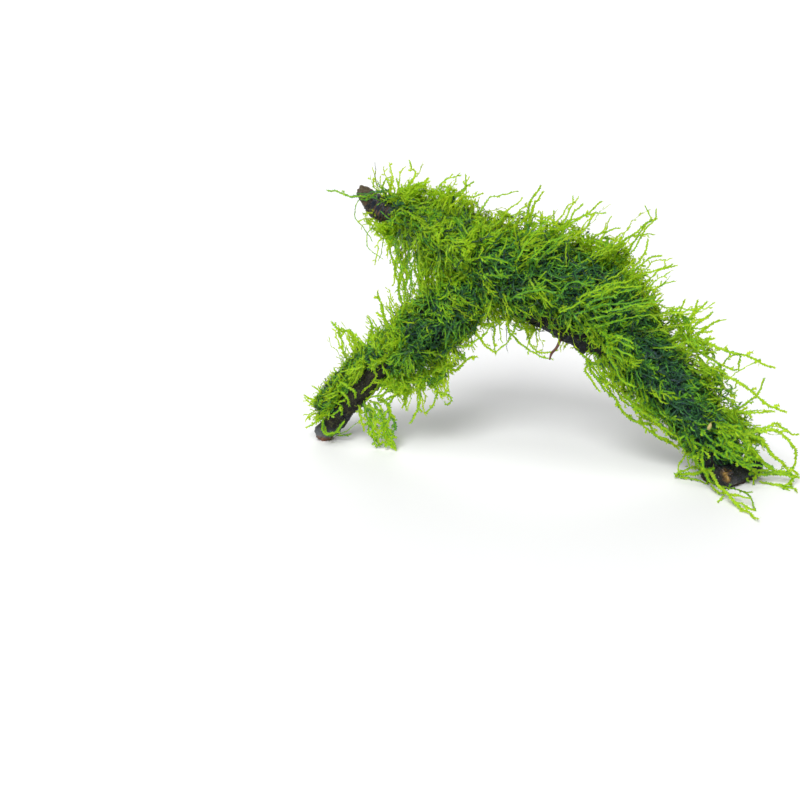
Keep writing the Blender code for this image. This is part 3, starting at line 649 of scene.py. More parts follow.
class Paint:
    """A material that is built node by node."""

    def __init__(self, name):
        self.material = bpy.data.materials.new(name)
        self.material.use_nodes = True
        self.tree = self.material.node_tree
        self.tree.nodes.clear()

    def node(self, kind, settings=None, inputs=None, output=0):
        """Add a node: its settings first, then the values or links of its sockets."""
        made = self.tree.nodes.new(kind)
        for key, value in (settings or {}).items():
            if key == "stops":
                ramp = made.color_ramp.elements
                while len(ramp) < len(value):
                    ramp.new(0.5)
                for stop, (place, colour) in zip(ramp, value):
                    stop.position = place
                    stop.color = (*colour, 1.0)
            else:
                setattr(made, key, value)
        for key, value in (inputs or {}).items():
            if isinstance(value, Flow):
                self.tree.links.new(value.socket, made.inputs[key])
            else:
                made.inputs[key].default_value = value
        return Flow(self, made.outputs[output]) if made.outputs else None

    def place(self):
        """Object coordinates."""
        return self.node("ShaderNodeTexCoord", {}, {}, 3)

    def noise(self, place, scale, detail=4.0, rough=0.55):
        """Noise over the object."""
        inputs = {"Vector": place, "Scale": scale, "Detail": detail, "Roughness": rough}
        return self.node("ShaderNodeTexNoise", {}, inputs)

    def ramp(self, factor, stops):
        """A colour for each value of the factor."""
        return self.node("ShaderNodeValToRGB", {"stops": stops}, {"Fac": factor})

    def mask(self, factor, low, high, first=0.0, last=1.0):
        """A grey that goes from one brightness to another between two values of the factor."""
        return self.ramp(factor, [(low, (first,) * 3), (high, (last,) * 3)])

    def blend(self, factor, first, second):
        """One colour mixed into another."""
        return self.node("ShaderNodeMix", {"data_type": "RGBA"}, {0: factor, 6: first, 7: second}, 2)

    def bump(self, height, distance, strength=1.0):
        """Small heights on the surface, in metres."""
        return self.node("ShaderNodeBump", {}, {"Strength": strength, "Distance": distance, "Height": height})

    def surface(self, colour, roughness, shine=0.5, bump=None):
        """An opaque surface."""
        inputs = {"Base Color": colour, "Roughness": roughness, "Specular IOR Level": shine}
        if bump:
            inputs["Normal"] = bump
        return self.node("ShaderNodeBsdfPrincipled", {}, inputs)

    def finish(self, shader):
        """Show a shader, and hand back the material."""
        self.node("ShaderNodeOutputMaterial", {}, {"Surface": shader})
        return self.material


def moss_material(settings):
    """Translucent leaves: dark at the root, partly painted shade, yellow-green at the tip, each strand with
    its own age and painted light.
    """
    paint = Paint("moss_leaves")
    place = paint.node("ShaderNodeUVMap", {"uv_map": "OFBake"})
    reach = paint.node("ShaderNodeSeparateXYZ", {}, {"Vector": place})
    age_and_light = Flow(paint, reach.socket.node.outputs["Y"])
    # Dead strands are brown at the lowest values; above them the bluish darks are painted shade for strands
    # deep in the wad and in the thin shaded places, and the greens brighten with age and with painted rim
    # light
    young = paint.ramp(age_and_light, [
        (0.0, (0.036, 0.020, 0.006)), (0.05, (0.120, 0.080, 0.018)), (0.08, (0.200, 0.220, 0.030)),
        (0.10, (0.014, 0.026, 0.038)), (0.30, (0.022, 0.072, 0.040)), (0.55, (0.076, 0.290, 0.022)),
        (0.80, (0.275, 0.500, 0.012)), (1.0, (0.480, 0.700, 0.060)),
    ])
    fresh = paint.ramp(age_and_light, [
        (0.0, (0.130, 0.085, 0.025)), (0.08, (0.200, 0.190, 0.040)), (0.10, (0.014, 0.042, 0.036)),
        (0.35, (0.052, 0.235, 0.026)), (0.62, (0.222, 0.484, 0.010)), (0.85, (0.520, 0.690, 0.030)),
        (1.0, settings.tip_colour),
    ])
    # Towards its root each strand darkens to the root colour, partly the older stem's own colour and partly
    # painted shade
    body = paint.blend(reach * 1.9, (*settings.root_shade, 1.0), young)
    leaf = paint.surface(paint.blend(reach * reach * 0.8, body, fresh), 0.45, 0.12)
    glow = paint.node("ShaderNodeBsdfTranslucent", {}, {"Color": (*settings.glow_colour, 1.0)})
    share = age_and_light * age_and_light * (0.35 + reach * 0.65)
    return paint.finish(paint.node("ShaderNodeMixShader", {}, {0: share, 1: leaf, 2: glow}))


def mat_material():
    """The dense dark mat of old moss on the wood, its bluish darks partly painted shade for the depths of the
    wad.
    """
    paint = Paint("old_moss_and_painted_shade")
    place = paint.place()
    fine = paint.noise(place, 900.0, 5.0, 0.7)
    wide = paint.noise(place, 120.0, 3.0)
    # Partly the old moss's own dark green, partly bluish painted shade for the gaps between the strands
    colour = paint.ramp(fine, [
        (0.30, (0.012, 0.022, 0.028)), (0.52, (0.018, 0.038, 0.038)), (0.72, (0.032, 0.085, 0.030)),
    ])
    # Wide patches of the same bluish painted shade
    colour = paint.blend(wide * 0.7, colour, (0.014, 0.020, 0.028, 1.0))
    return paint.finish(paint.surface(colour, 0.62, 0.3, paint.bump(fine, 0.0012)))


def bark_material(name, red, painted_glint):
    """Bark: nearly black, with reddish-brown patches, painted glints of one colour, and grey ends at the
    floor.
    """
    paint = Paint(name)
    place = paint.place()
    wide = paint.noise(place, 95.0)
    fine = paint.noise(place, 650.0, 6.0, 0.7)
    patch = paint.noise(place, 150.0, 3.0, 0.6)
    glint_spots = paint.noise(place, 430.0, 5.0, 0.75)
    edges = {"feature": "DISTANCE_TO_EDGE"}
    cracks = paint.node("ShaderNodeTexVoronoi", edges, {"Vector": place, "Scale": 330.0})
    colour = paint.ramp(wide, [
        (0.32, (0.002, 0.003, 0.004)), (0.50, (0.006, 0.007, 0.007)), (0.66, (0.012, 0.013, 0.011)),
        (0.80, (0.028, 0.024, 0.016)),
    ])
    colour = paint.blend(fine * red * 1.5, colour, (0.160, 0.112, 0.066, 1.0))
    redness = paint.mask(patch, 0.56, 0.66)
    colour = paint.blend(redness * (0.04 + red * 0.7), colour, (0.190, 0.090, 0.050, 1.0))
    # Painted highlights: small pale flecks stand for the glints on the bark
    colour = paint.blend(paint.mask(glint_spots, 0.52, 0.66, 0.0, 0.75), colour, (*painted_glint, 1.0))
    height = paint.node("ShaderNodeSeparateXYZ", {}, {"Vector": place}, 2) * (1 / MM) + fine * 5.0
    low = height * 0.05
    foot = paint.ramp(low, [
        (0.16, (0.230, 0.075, 0.028)), (0.24, (0.140, 0.070, 0.042)), (0.34, (0.110, 0.120, 0.125)),
        (0.58, (0.045, 0.050, 0.054)),
    ])
    colour = paint.blend(paint.mask(low, 0.50, 0.72, 0.9 if red else 0.15, 0.0), colour, foot)
    bump = paint.bump(fine * 0.6 + cracks * 1.5, 0.0008)
    return paint.finish(paint.surface(colour, 0.16 + fine * 0.5, 0.16, bump))


def cut_material():
    """The wet broken end of the spur: a dark face with an ochre heart."""
    paint = Paint("broken_end")
    place = paint.place()
    fine = paint.noise(place, 420.0, 4.0, 0.7)
    apart = paint.node("ShaderNodeVectorMath", {"operation": "DISTANCE"}, {0: place, 1: HEART}, 1)
    colour = paint.ramp(apart * 78.0 + fine * 0.7, [
        (0.50, (0.300, 0.178, 0.038)), (0.68, (0.075, 0.038, 0.014)), (0.84, (0.006, 0.006, 0.008)),
    ])
    return paint.finish(paint.surface(colour, 0.22, 0.5, paint.bump(fine, 0.0007, 0.8)))


def plain_material(name, colour, roughness):
    """One colour with a slight unevenness, for small things."""
    paint = Paint(name)
    uneven = paint.noise(paint.place(), 900.0)
    darker = tuple(part * 0.7 for part in colour)
    return paint.finish(paint.surface(paint.ramp(uneven, [(0.3, darker), (0.7, colour)]), roughness))


def floor_material():
    """Plain pale floor."""
    paint = Paint("white_floor")
    return paint.finish(paint.surface(FLOOR_COLOUR, 0.6, 0.2))


def new_curve(sides):
    """A curve that becomes a closed tube, with the radius of each of its points in millimetres."""
    deselect()
    bpy.ops.curve.primitive_bezier_curve_add(radius=1, location=(0, 0, 0))
    item = bpy.context.object
    item.data.dimensions = "3D"
    item.data.bevel_depth = MM
    item.data.bevel_resolution = sides
    item.data.use_fill_caps = True
    return item


def tube(name, line, steps, sides):
    """A closed tube through (x, y, z, radius) points, made from a curve."""
    item = new_curve(sides)
    item.name = name
    item.data.resolution_u = steps
    points = item.data.splines[0].bezier_points
    points.add(len(line) - len(points))
    for point, (x, y, z, radius) in zip(points, line):
        point.co = (x * MM, y * MM, z * MM)
        point.radius = radius
        point.handle_left_type = "AUTO"
        point.handle_right_type = "AUTO"
    bpy.ops.object.convert(target="MESH")
    bpy.ops.object.mode_set(mode="EDIT")
    bpy.ops.mesh.select_all(action="SELECT")
    bpy.ops.mesh.remove_doubles(threshold=WELD)
    bpy.ops.mesh.normals_make_consistent(inside=False)
    bpy.ops.object.mode_set(mode="OBJECT")
    return item


def join(item, others):
    """Join pieces into one object, which keeps the first one's name."""
    pick_only(item)
    for other in others:
        other.select_set(True)
    bpy.ops.object.join()
    return item


def knot(place):
    """The lump of a knot."""
    x, y, z, radius = (value * MM for value in place)
    deselect()
    bpy.ops.mesh.primitive_ico_sphere_add(subdivisions=3, radius=radius, location=(x, y, z))
    item = bpy.context.object
    bpy.ops.object.transform_apply(location=True, rotation=False, scale=False)
    return item


def remesh(item, size):
    """Give a joined shape one even skin, with faces of a size in millimetres."""
    pick_only(item)
    item.data.remesh_voxel_size = size * MM
    item.data.use_remesh_preserve_volume = False
    bpy.ops.object.voxel_remesh()


def read_points(points, key):
    """The (x, y, z) values of a mesh's points."""
    values = np.empty(len(points) * 3)
    points.foreach_get(key, values)
    return values.reshape(-1, 3)


def vertices_of(item):
    """An object's points in millimetres."""
    return read_points(item.data.vertices, "co") / MM


def normals_of(item):
    """The way out of the surface at each of an object's points."""
    return read_points(item.data.vertex_normals, "vector")


def put_vertices(item, places):
    """Move an object's points to places in millimetres."""
    item.data.vertices.foreach_set("co", (places * MM).ravel())
    item.data.update()


def furrow(item, line, depth, seed, count=120):
    """Raise ridges that run along a limb, and fine scars over them."""
    places = vertices_of(item)
    ways = normals_of(item)
    ring = rings(line, count)
    index = nearest(places, ring["centre"])
    spoke = unit(places - ring["centre"][index])
    along = index * ring["length"] / count
    around = np.stack([(spoke * ring[way][index]).sum(1) for way in ("front", "top")], axis=1)
    long_ridges = 1 - 2 * np.abs(lumps(np.column_stack([along / 16, around * 2.6]), 1.0, seed))
    ridges = lumps(np.column_stack([along / 6, around * 5.5]), 1.0, seed + 1)
    scars = lumps(places, 1.9, seed + 2)
    bends = lumps(places, 11.0, seed + 3)
    creases = np.abs(lumps(places, 5.5, seed + 4)) - 0.2
    height = depth * (0.6 * bends + 0.6 * long_ridges + 0.5 * ridges + 0.35 * scars + 1.3 * creases)
    put_vertices(item, places + ways * height[:, None])


def stand_flat(item):
    """Cut an object off level at the floor."""
    pick_only(item)
    bpy.ops.object.mode_set(mode="EDIT")
    bpy.ops.mesh.select_all(action="SELECT")
    bpy.ops.mesh.bisect(
        plane_co=(0, 0, FLOOR_CUT), plane_no=(0, 0, 1), use_fill=True, clear_inner=True, clear_outer=False
    )
    bpy.ops.object.mode_set(mode="OBJECT")


def limb(name, line, knots, voxel, depth, seed):
    """A limb of driftwood with its knots and bark."""
    item = tube(name, line, 14, 7)
    if knots:
        join(item, [knot(place) for place in knots])
    remesh(item, voxel)
    furrow(item, line, depth, seed)
    bpy.ops.object.shade_smooth()
    return item


def small_thing(name, line, steps, material):
    """A small smooth tube, such as a twig or a bud."""
    item = tube(name, line, steps, 4)
    bpy.ops.object.shade_smooth()
    settle(item, material)


def paint_cut(spur):
    """Show the broken wood on the end of the spur."""
    spur.data.materials.append(cut_material())
    end = Vector(FOOT_SPUR[0][:3]) * MM
    way = Vector(CUT_WAY).normalized()
    for polygon in spur.data.polygons:
        if polygon.normal.dot(way) > CUT_LEAST and (polygon.center - end).length < CUT_REACH:
            polygon.material_index = 1


def skin_of(item):
    """The surface of an object, to lay things on, in millimetres."""
    places = [Vector(place) for place in vertices_of(item)]
    return BVHTree.FromPolygons(places, [list(polygon.vertices) for polygon in item.data.polygons])


def winding(line, skin, tie, radius, phase):
    """The points of a thread wound round a limb, laid on its bark."""
    start, end, turns, swing = tie
    ring = rings(line, 200)
    last = len(ring["radius"]) - 1
    count = turns * TURN_STEPS
    points = []
    for step in range(count + 1):
        share = start + (end - start) * step / count
        share += swing * math.sin(step / count * math.pi * turns * 0.9 + phase)
        index = min(max(int(share * last), 0), last)
        angle = 2 * math.pi * step / TURN_STEPS + phase
        way = Vector(ring["front"][index] * math.cos(angle) + ring["top"][index] * math.sin(angle))
        centre = Vector(ring["centre"][index])
        hit, _, _, apart = skin.ray_cast(centre + way * SEARCH_FROM, -way)
        height = ring["radius"][index] if hit is None else SEARCH_FROM - apart
        points.append((*(centre + way * (height + radius * 0.8)), radius))
    return points


def thread(name, lines):
    """Threads along lines of points, as one mesh."""
    made = []
    for line in lines:
        item = new_curve(1)
        item.data.splines.clear()
        spline = item.data.splines.new("POLY")
        spline.points.add(len(line) - 1)
        for point, (x, y, z, radius) in zip(spline.points, line):
            point.co = (x * MM, y * MM, z * MM, 1)
            point.radius = radius
        bpy.ops.object.convert(target="MESH")
        made.append(item)
    made[0].name = name
    return join(made[0], made[1:])


def bezier(points, joints):
    """Centre lines of many strands from their four handle points each."""
    t = np.linspace(0, 1, joints + 1)[None, :, None]
    a, b, c, d = (point[:, None, :] for point in points)
    return a * (1 - t) ** 3 + 3 * b * t * (1 - t) ** 2 + 3 * c * t * t * (1 - t) + d * t**3


def wander(centre, draw, size):
    """Lines that bend as they grow: slow waves, and slight quick ones on them."""
    step = np.linalg.norm(np.diff(centre, axis=1), axis=2).cumsum(axis=1)
    reach = np.concatenate([np.zeros((len(centre), 1)), step], axis=1)
    moved = centre.copy()
    ease = np.minimum(reach / 5, 1)
    for wave, high in WAVES:
        for axis in range(3):
            phase = draw.uniform(0, 2 * np.pi, (len(centre), 1))
            width = wave * draw.uniform(0.75, 1.3, (len(centre), 1))
            swing = np.sin(reach * 2 * np.pi / width + phase) - np.sin(phase)
            moved[..., axis] += size * high * ease * swing
    return moved


def evenly(line, step):
    """A line through points, smoothed and cut into joints of about one length."""
    points = np.column_stack([np.array(line, float), np.ones(len(line))])
    length = np.linalg.norm(np.diff(points[:, :3], axis=0), axis=1).sum()
    return smooth_line(points, max(int(length / step), 3) + 1)[0][:, :3]


def joints_in(length, settings):
    """How many joints a strand of a length in millimetres has."""
    return max(int(length / (settings.joint / MM)), FEWEST_JOINTS)


class Growth:
    """Strands and their leaves, gathered until they become one mesh."""

    def __init__(self, seed):
        self.draw = np.random.default_rng(seed)
        self.places, self.uvs, self.faces = [], [], []
        self.total = 0

    def add(self, centre, face_way, width, ages_and_light, start=0.0, end=1.0):
        """Add strands: pointed leaves that overlap, one to the left and one to the right in turn."""
        draw = self.draw
        count, points, _ = centre.shape
        joints = points - 1
        per = points + joints
        ahead = centre[:, 1:] - centre[:, :-1]
        step = np.linalg.norm(ahead, axis=2, keepdims=True)
        along = unit(ahead)
        t = (np.arange(joints) + 0.5)[None, :, None] / joints
        side = unit(np.cross(face_way[:, None, :], along))
        over = np.cross(along, side)
        turn = draw.uniform(-0.5, 0.5, (count, 1, 1)) + draw.normal(0, 0.35, (count, joints, 1))
        hand = np.where(np.arange(joints) % 2, -1, 1)[None, :, None]
        half = 0.5 * np.asarray(width, float).reshape(-1, 1, 1) * (1.05 - 0.4 * t**3)
        reach = half * draw.uniform(0.75, 1.3, (count, joints, 1)) * hand
        lean = step * draw.uniform(2.8, 4.4, (count, joints, 1))
        leaves = centre[:, :-1] + (side * np.cos(turn) + over * np.sin(turn)) * reach + along * lean
        places = np.concatenate([centre, leaves], axis=1)
        u = np.concatenate([np.arange(points), np.arange(joints) + 2]) / joints
        u = start + (end - start) * np.broadcast_to(u, (count, per))
        shades = ages_and_light[:, None] + draw.normal(-0.27, 0.34, (count, joints))
        shades = np.where(ages_and_light[:, None] < DEAD, ages_and_light[:, None], np.maximum(shades, DARKEST))
        v = np.concatenate([np.broadcast_to(ages_and_light[:, None] + 0.16, (count, points)), shades], axis=1)
        uvs = np.stack([np.clip(u, 0.002, 0.998), np.clip(v, 0.008, 0.992)], axis=-1)
        # A leaf is a triangle on two joints of its strand and its own tip, wound so that all face one way
        i = np.arange(joints)
        after = np.minimum(i + 4, joints)
        low, high = np.where(i % 2, after, i), np.where(i % 2, i, after)
        faces = np.stack([low, high, points + i], 1)
        every = faces[None] + (np.arange(count) * per)[:, None, None] + self.total
        self.places.append(places.reshape(-1, 3))
        self.uvs.append(uvs.reshape(-1, 2))
        self.faces.append(every.reshape(-1, 3))
        self.total += count * per

    def grow(self, centre, face_way, width, ages_and_light, shoots, size, chance=0.8, start=0.0):
        """Add strands with short side shoots, turn by turn to the left and to the right."""
        self.add(centre, face_way, width, ages_and_light, start)
        draw = self.draw
        count, points, _ = centre.shape
        hand = np.where(draw.random(count) < 0.5, -1, 1)
        for number in range(shoots):
            pick = np.nonzero(draw.random(count) < chance)[0]
            if not len(pick):
                continue
            share = 0.2 + 0.72 * (number + draw.random(len(pick))) / shoots
            at = (share * (points - 2)).astype(int)
            foot = centre[pick, at]
            ahead = unit(centre[pick, at + 1] - foot)
            side = unit(np.cross(face_way[pick], ahead)) * (hand[pick] * (-1) ** number)[:, None]
            length = (size * draw.uniform(0.5, 1.35, len(pick)) * (1.15 - 0.65 * share))[:, None]
            lift = face_way[pick] * draw.uniform(-0.35, 0.55, (len(pick), 1))
            way = unit(ahead * draw.uniform(0.5, 1.1, (len(pick), 1)) + side * 0.9 + lift)
            tip = foot + unit(way + ahead * 0.3 + draw.normal(0, 0.15, (len(pick), 3))) * length
            branch = bezier((foot, foot + way * length * 0.4, tip - ahead * length * 0.25, tip), 8)
            slim = np.asarray(width, float)[pick] * 0.85
            for low in (0.0, 0.5):
                part = (share >= low) & (share < low + 0.5)
                if part.any():
                    first, last = 0.35 + low * 0.5, 0.75 + low * 0.5
                    own = pick[part]
                    self.add(branch[part], face_way[own], slim[part], ages_and_light[own] + 0.03, first, last)

    def make(self, name):
        """Turn all strands into one object."""
        places = np.concatenate(self.places) * MM
        places[:, 2] = np.maximum(places[:, 2], LOWEST)
        faces = np.concatenate(self.faces)
        uvs = np.concatenate(self.uvs)
        mesh = bpy.data.meshes.new(name)
        mesh.vertices.add(len(places))
        mesh.vertices.foreach_set("co", places.astype(np.float32).ravel())
        mesh.loops.add(faces.size)
        mesh.loops.foreach_set("vertex_index", faces.astype(np.int32).ravel())
        mesh.polygons.add(len(faces))
        mesh.polygons.foreach_set("loop_start", np.arange(0, faces.size, 3, dtype=np.int32))
        mesh.update(calc_edges=True)
        layer = mesh.uv_layers.new(name="OFBake")
        layer.uv.foreach_set("vector", uvs[faces.ravel()].astype(np.float32).ravel())
        item = bpy.data.objects.new(name, mesh)
        bpy.context.scene.collection.objects.link(item)
        return item


def inside_any(places, balls):
    """Which of the places (strands, points, xyz) have a point in one of the balls."""
    hit = np.zeros(len(places), bool)
    for x, y, z, radius in balls:
        hit |= (((places - (x, y, z)) ** 2).sum(-1) < radius**2).any(axis=1)
    return hit


def combed(places, side):
    """The combed way at each place, in front and behind alike, or the wad's own way where none is near."""
    total = np.tile(np.array(side, float) * OWN_SHARE, (len(places), 1))
    for across, down, angle in COMBED:
        spot = seen_at(across, down, 0.0)
        apart = (places[:, 0] - spot.x) ** 2 + (places[:, 2] - spot.z) ** 2
        weight = np.exp(-apart / (2 * COMB_REACH**2))[:, None]
        total += weight * np.array([math.cos(math.radians(angle)), 0.0, math.sin(math.radians(angle))])
    return unit(total)


def sweep(wad, spoke, ring, index, places, swirl):
    """Which way the strands run at each place."""
    up = (spoke * ring["top"][index]).sum(1)
    top = np.clip(up, 0, 1)[:, None] ** 1.2
    under = np.clip(-up, 0, 1)[:, None] ** 1.2
    level = (1 - np.maximum(top, under) * 0.8) * 1.1
    way = top * np.array(wad["top"]) + under * np.array(wad["under"]) + level * combed(places, wad["side"])
    way = way + swirl * flows(places, 20, wad["seed"]) + 0.6 * swirl * flows(places, 7, wad["seed"] + 1)
    way -= spoke * (way * spoke).sum(1, keepdims=True) * 0.75
    return unit(way)


def rooted(ring, tip, way, length, low, high, draw):
    """Where strands that end at tips start from, inside the wad."""
    root = tip - way * (length * 0.9)[:, None]
    at = nearest(root, ring["centre"])
    inward = root - ring["centre"][at]
    far = np.linalg.norm(inward, axis=1, keepdims=True)
    limit = ring["radius"][at][:, None] * draw.uniform(low, high, (len(tip), 1))
    return ring["centre"][at] + inward / np.maximum(far, 1e-6) * np.minimum(far, limit)


def place_on(wad, ring, index, angle, depth):
    """Points at shares of a wad's radius, and the ways out from its line to them."""
    spoke = ring["front"][index] * np.cos(angle)[:, None] + ring["top"][index] * np.sin(angle)[:, None]
    base = ring["centre"][index] + spoke * ring["radius"][index][:, None]
    swell = 1 + 0.14 * lumps(base, 15, wad["seed"])
    return ring["centre"][index] + spoke * (ring["radius"][index] * depth * swell)[:, None], spoke


def scatter(ring, lock, number, draw):
    """Spread locks of strands over a wad: the lock of each strand, its place on the line and its angle."""
    weight = ring["radius"] / ring["radius"].sum()
    groups = int(number * SPARE) // lock
    group = np.repeat(np.arange(groups), lock)
    loose = lock > 1
    index = draw.choice(len(weight), groups, p=weight)[group]
    index = index + draw.normal(0, 2.5 * loose, len(group)).astype(int)
    angle = draw.uniform(-math.pi, math.pi, groups)[group] + draw.normal(0, 0.13 * loose, len(group))
    return group, np.clip(index, 0, len(weight) - 1), angle


def measures(wad, kind, group, draw):
    """How far out the tip of each strand lies, as a share of the radius, and how long the strand is."""
    layer = LAYERS[kind]
    groups, count = group[-1] + 1, len(group)
    low, high = layer.get("length", wad["length"])
    depth = draw.uniform(*layer["depth"], groups)[group]
    if kind == "sprigs":
        return depth + draw.normal(0, 0.03, count), draw.uniform(low, high, count) * 0.6
    if kind != "inner":
        depth = depth - draw.uniform(0, layer["sink"], count)
    if kind == "outer":
        length = draw.uniform(low, high, groups)[group] * draw.uniform(0.5, 1.05, count)
    else:
        length = draw.uniform(low, high, count)
    return depth * wad["body"], length


def handles_of(wad, layer, ring, index, tip, spoke, shared, length, draw):
    """The four handle points of each strand, from its root inside the wad to its tip."""
    shape = (len(tip), 3)
    stray = layer["stray"]
    way = sweep(wad, spoke, ring, index, tip, layer["swirl"]) * layer["combed"] + spoke * layer["outward"]
    way = unit(way + layer["shared"] * shared + draw.normal(0, layer["spread"], shape))
    rise = draw.uniform(*layer["rise"], (len(tip), 1))
    root = rooted(ring, tip, way, length, 0.42, 0.72, draw)
    out = unit(root - ring["centre"][nearest(root, ring["centre"])])
    first = root + unit(out * 0.55 + way * 0.6 + draw.normal(0, stray, shape)) * (length * 0.33)[:, None]
    ending = unit(way + spoke * rise + draw.normal(0, stray * 1.6, shape))
    second = tip - ending * (length * 0.36)[:, None] + draw.normal(0, 0.06, shape) * length[:, None]
    return np.stack([root, first, second, tip])


def age_and_light_of(wad, layer, fresher_and_lit, depth, tip, spoke, shared, draw):
    """How bright each strand is, with painted light: brighter further out, at the rims, and in some locks and
    places.
    """
    # Brighter further out: partly the younger growth outside, partly painted shade on the strands deep inside
    age_and_light = wad["tone"] + fresher_and_lit + layer["age_and_light"] + 0.5 * (depth - 0.9)
    age_and_light = age_and_light + 0.07 * lumps(tip, 14, 4.0) + 0.09 * shared[:, 0] * (layer["lock"] > 1)
    age_and_light = age_and_light + draw.normal(0, 0.09, len(tip))
    # Painted rim light: strands at the wad's edges, as seen from the front or from behind, are made brighter
    # as if lit through from behind
    return age_and_light + (0.22 * (1 - np.clip(np.abs(spoke[:, 1]), 0, 1)) ** 1.5 - 0.04)


def clothe(growth, wad, kind, settings, line, number, fresher_and_lit=0.0, start=0.0):
    """Grow one layer along the line of a wad, or along a roll of it, which is shorter, and brighter from
    fresher growth and painted rim light.
    """
    draw = growth.draw
    layer = LAYERS[kind]
    ring = rings(line)
    group, index, angle = scatter(ring, layer["lock"], number, draw)
    count = len(group)
    shared = draw.normal(0, 1, (group[-1] + 1, 3))[group]
    depth, length = measures(wad, kind, group, draw)
    length = length * (ROLL_LENGTH if fresher_and_lit else 1)
    tip, spoke = place_on(wad, ring, index, angle, depth)
    handles = handles_of(wad, layer, ring, index, tip, spoke, shared, length, draw)
    age_and_light = age_and_light_of(wad, layer, fresher_and_lit, depth, tip, spoke, shared, draw)
    run = bezier(handles, 8)
    dark = inside_any(run[:, 2:], SHADED_HOLLOWS)
    missing = dark & (draw.random(count) < (0.85 if fresher_and_lit else layer["thin"]))
    keep = ~inside_any(run, BARE) & ~missing & (run[..., 2].min(axis=1) > 0.8)
    if kind == "sprigs":
        keep &= draw.random(count) > 0.75 * np.abs(spoke[:, 1])
    # Painted shade: strands that stay in the thin places are darkened, for the shade in the hollows there
    age_and_light = np.where(dark, age_and_light * (0.8 if fresher_and_lit else 0.45), age_and_light)
    dead = draw.random(count) < (0.01 if fresher_and_lit else 0.05)
    age_and_light = np.where(dead, draw.uniform(0.02, 0.085, count), np.clip(age_and_light, 0.12, 0.96))
    keep = np.nonzero(keep)[0][:number]
    handles, spoke, length, age_and_light = handles[:, keep], spoke[keep], length[keep], age_and_light[keep]
    width = settings.strand_width / MM * draw.uniform(0.8, 1.2, len(keep)) * layer["width"]
    edges = np.quantile(length, (0, 0.25, 0.5, 0.75, 1))
    edges[-1] += 1
    for low, high in zip(edges[:-1], edges[1:]):
        part = (length >= low) & (length < high)
        joints = joints_in(length[part].mean(), settings)
        centre = wander(bezier(handles[:, part], joints), draw, layer["bend"])
        shoots = {"inner": 0, "net": 1}.get(kind, max(int(joints / 10), 2))
        growth.grow(centre, spoke[part], width[part], age_and_light[part], shoots, SHOOT_LENGTH, 0.55, start)


def add_free(growth, centre, settings, front, stray, tone, vary, slimmest):
    """Add one strand that hangs free, with its leaves turned roughly to the front."""
    draw = growth.draw
    face = unit(np.array([front]) + draw.normal(0, stray, (1, 3)))
    age_and_light = np.array([np.clip(tone + draw.normal(0, vary), 0.3, 0.95)])
    growth.grow(centre, face, [settings.strand_width / MM * draw.uniform(slimmest, 1.1)], age_and_light, 5, 4.5)


def reach_tips(growth, wad, settings):
    """A few strands for each of a wad's longest sprays."""
    draw = growth.draw
    ring = rings(wad["line"])
    for tip in np.repeat(np.array(wad["tips"], float), wad["spray"], axis=0):
        at = nearest(tip[None], ring["centre"])
        out = tip - ring["centre"][at[0]]
        far = np.linalg.norm(out)
        way = unit(out / far + sweep(wad, out[None] / far, ring, at, tip[None], 0.5)[0] * 0.8)
        end = ring["centre"][at[0]] + out * draw.uniform(0.6, 1.0) + draw.normal(0, 3.5, 3)
        end[2] = max(end[2], 1.0)
        root = rooted(ring, end[None], way[None], np.array([far * 0.95]), 0.4, 0.6, draw)[0]
        length = np.linalg.norm(end - root)
        first = root + unit(way + draw.normal(0, 0.3, 3)) * length * 0.35
        second = end - unit(way + out / far * 0.5 + draw.normal(0, 0.3, 3)) * length * 0.3
        handles = np.array([root, first, second, end])[:, None]
        handles[..., 2] = np.maximum(handles[..., 2], 1.0)
        centre = wander(bezier(handles, joints_in(length, settings)), draw, 0.7)
        if not inside_any(centre[:, 6:], BARE)[0]:
            add_free(growth, centre, settings, (0.25, -1.0, 0.2), 0.5, wad["tone"] + 0.22, 0.08, 0.8)


def trace_sprigs(growth, sprigs, settings, line=None):
    """Strands along the sprigs that stand out, each rooted in its wad."""
    draw = growth.draw
    centre = rings(line)["centre"] if line else None
    for depth, end_depth, width, shoots, points, *tone in sprigs:
        depths = [depth + (end_depth - depth) * share for share in np.linspace(0, 1, len(points))]
        places = [np.array(seen_at(*point, deep)) for point, deep in zip(points, depths)]
        if line:
            close = centre[nearest(places[0][None], centre)[0]]
            places.insert(0, places[0] + (close - places[0]) * 0.5)
        places = np.array(places)
        places[:, 2] = np.maximum(places[:, 2], 0.9)
        track = wander(evenly(places, settings.joint / MM)[None], draw, 0.45)
        face = unit(np.array([[0.25, -1.0, 0.3]]) + draw.normal(0, 0.25, (1, 3)))
        thick = settings.strand_width / MM * width * 1.2
        age_and_light = 0.04 if width < 0.35 else (tone or [SPRIG_TONE])[0] + draw.normal(0, 0.07)
        growth.grow(track, face, [thick], np.array([age_and_light]), shoots, 3.0 + width * 1.5, 1.0, 0.3)
        growth.add(track, face, [thick * 0.5], np.array([age_and_light + 0.08]), 0.3)


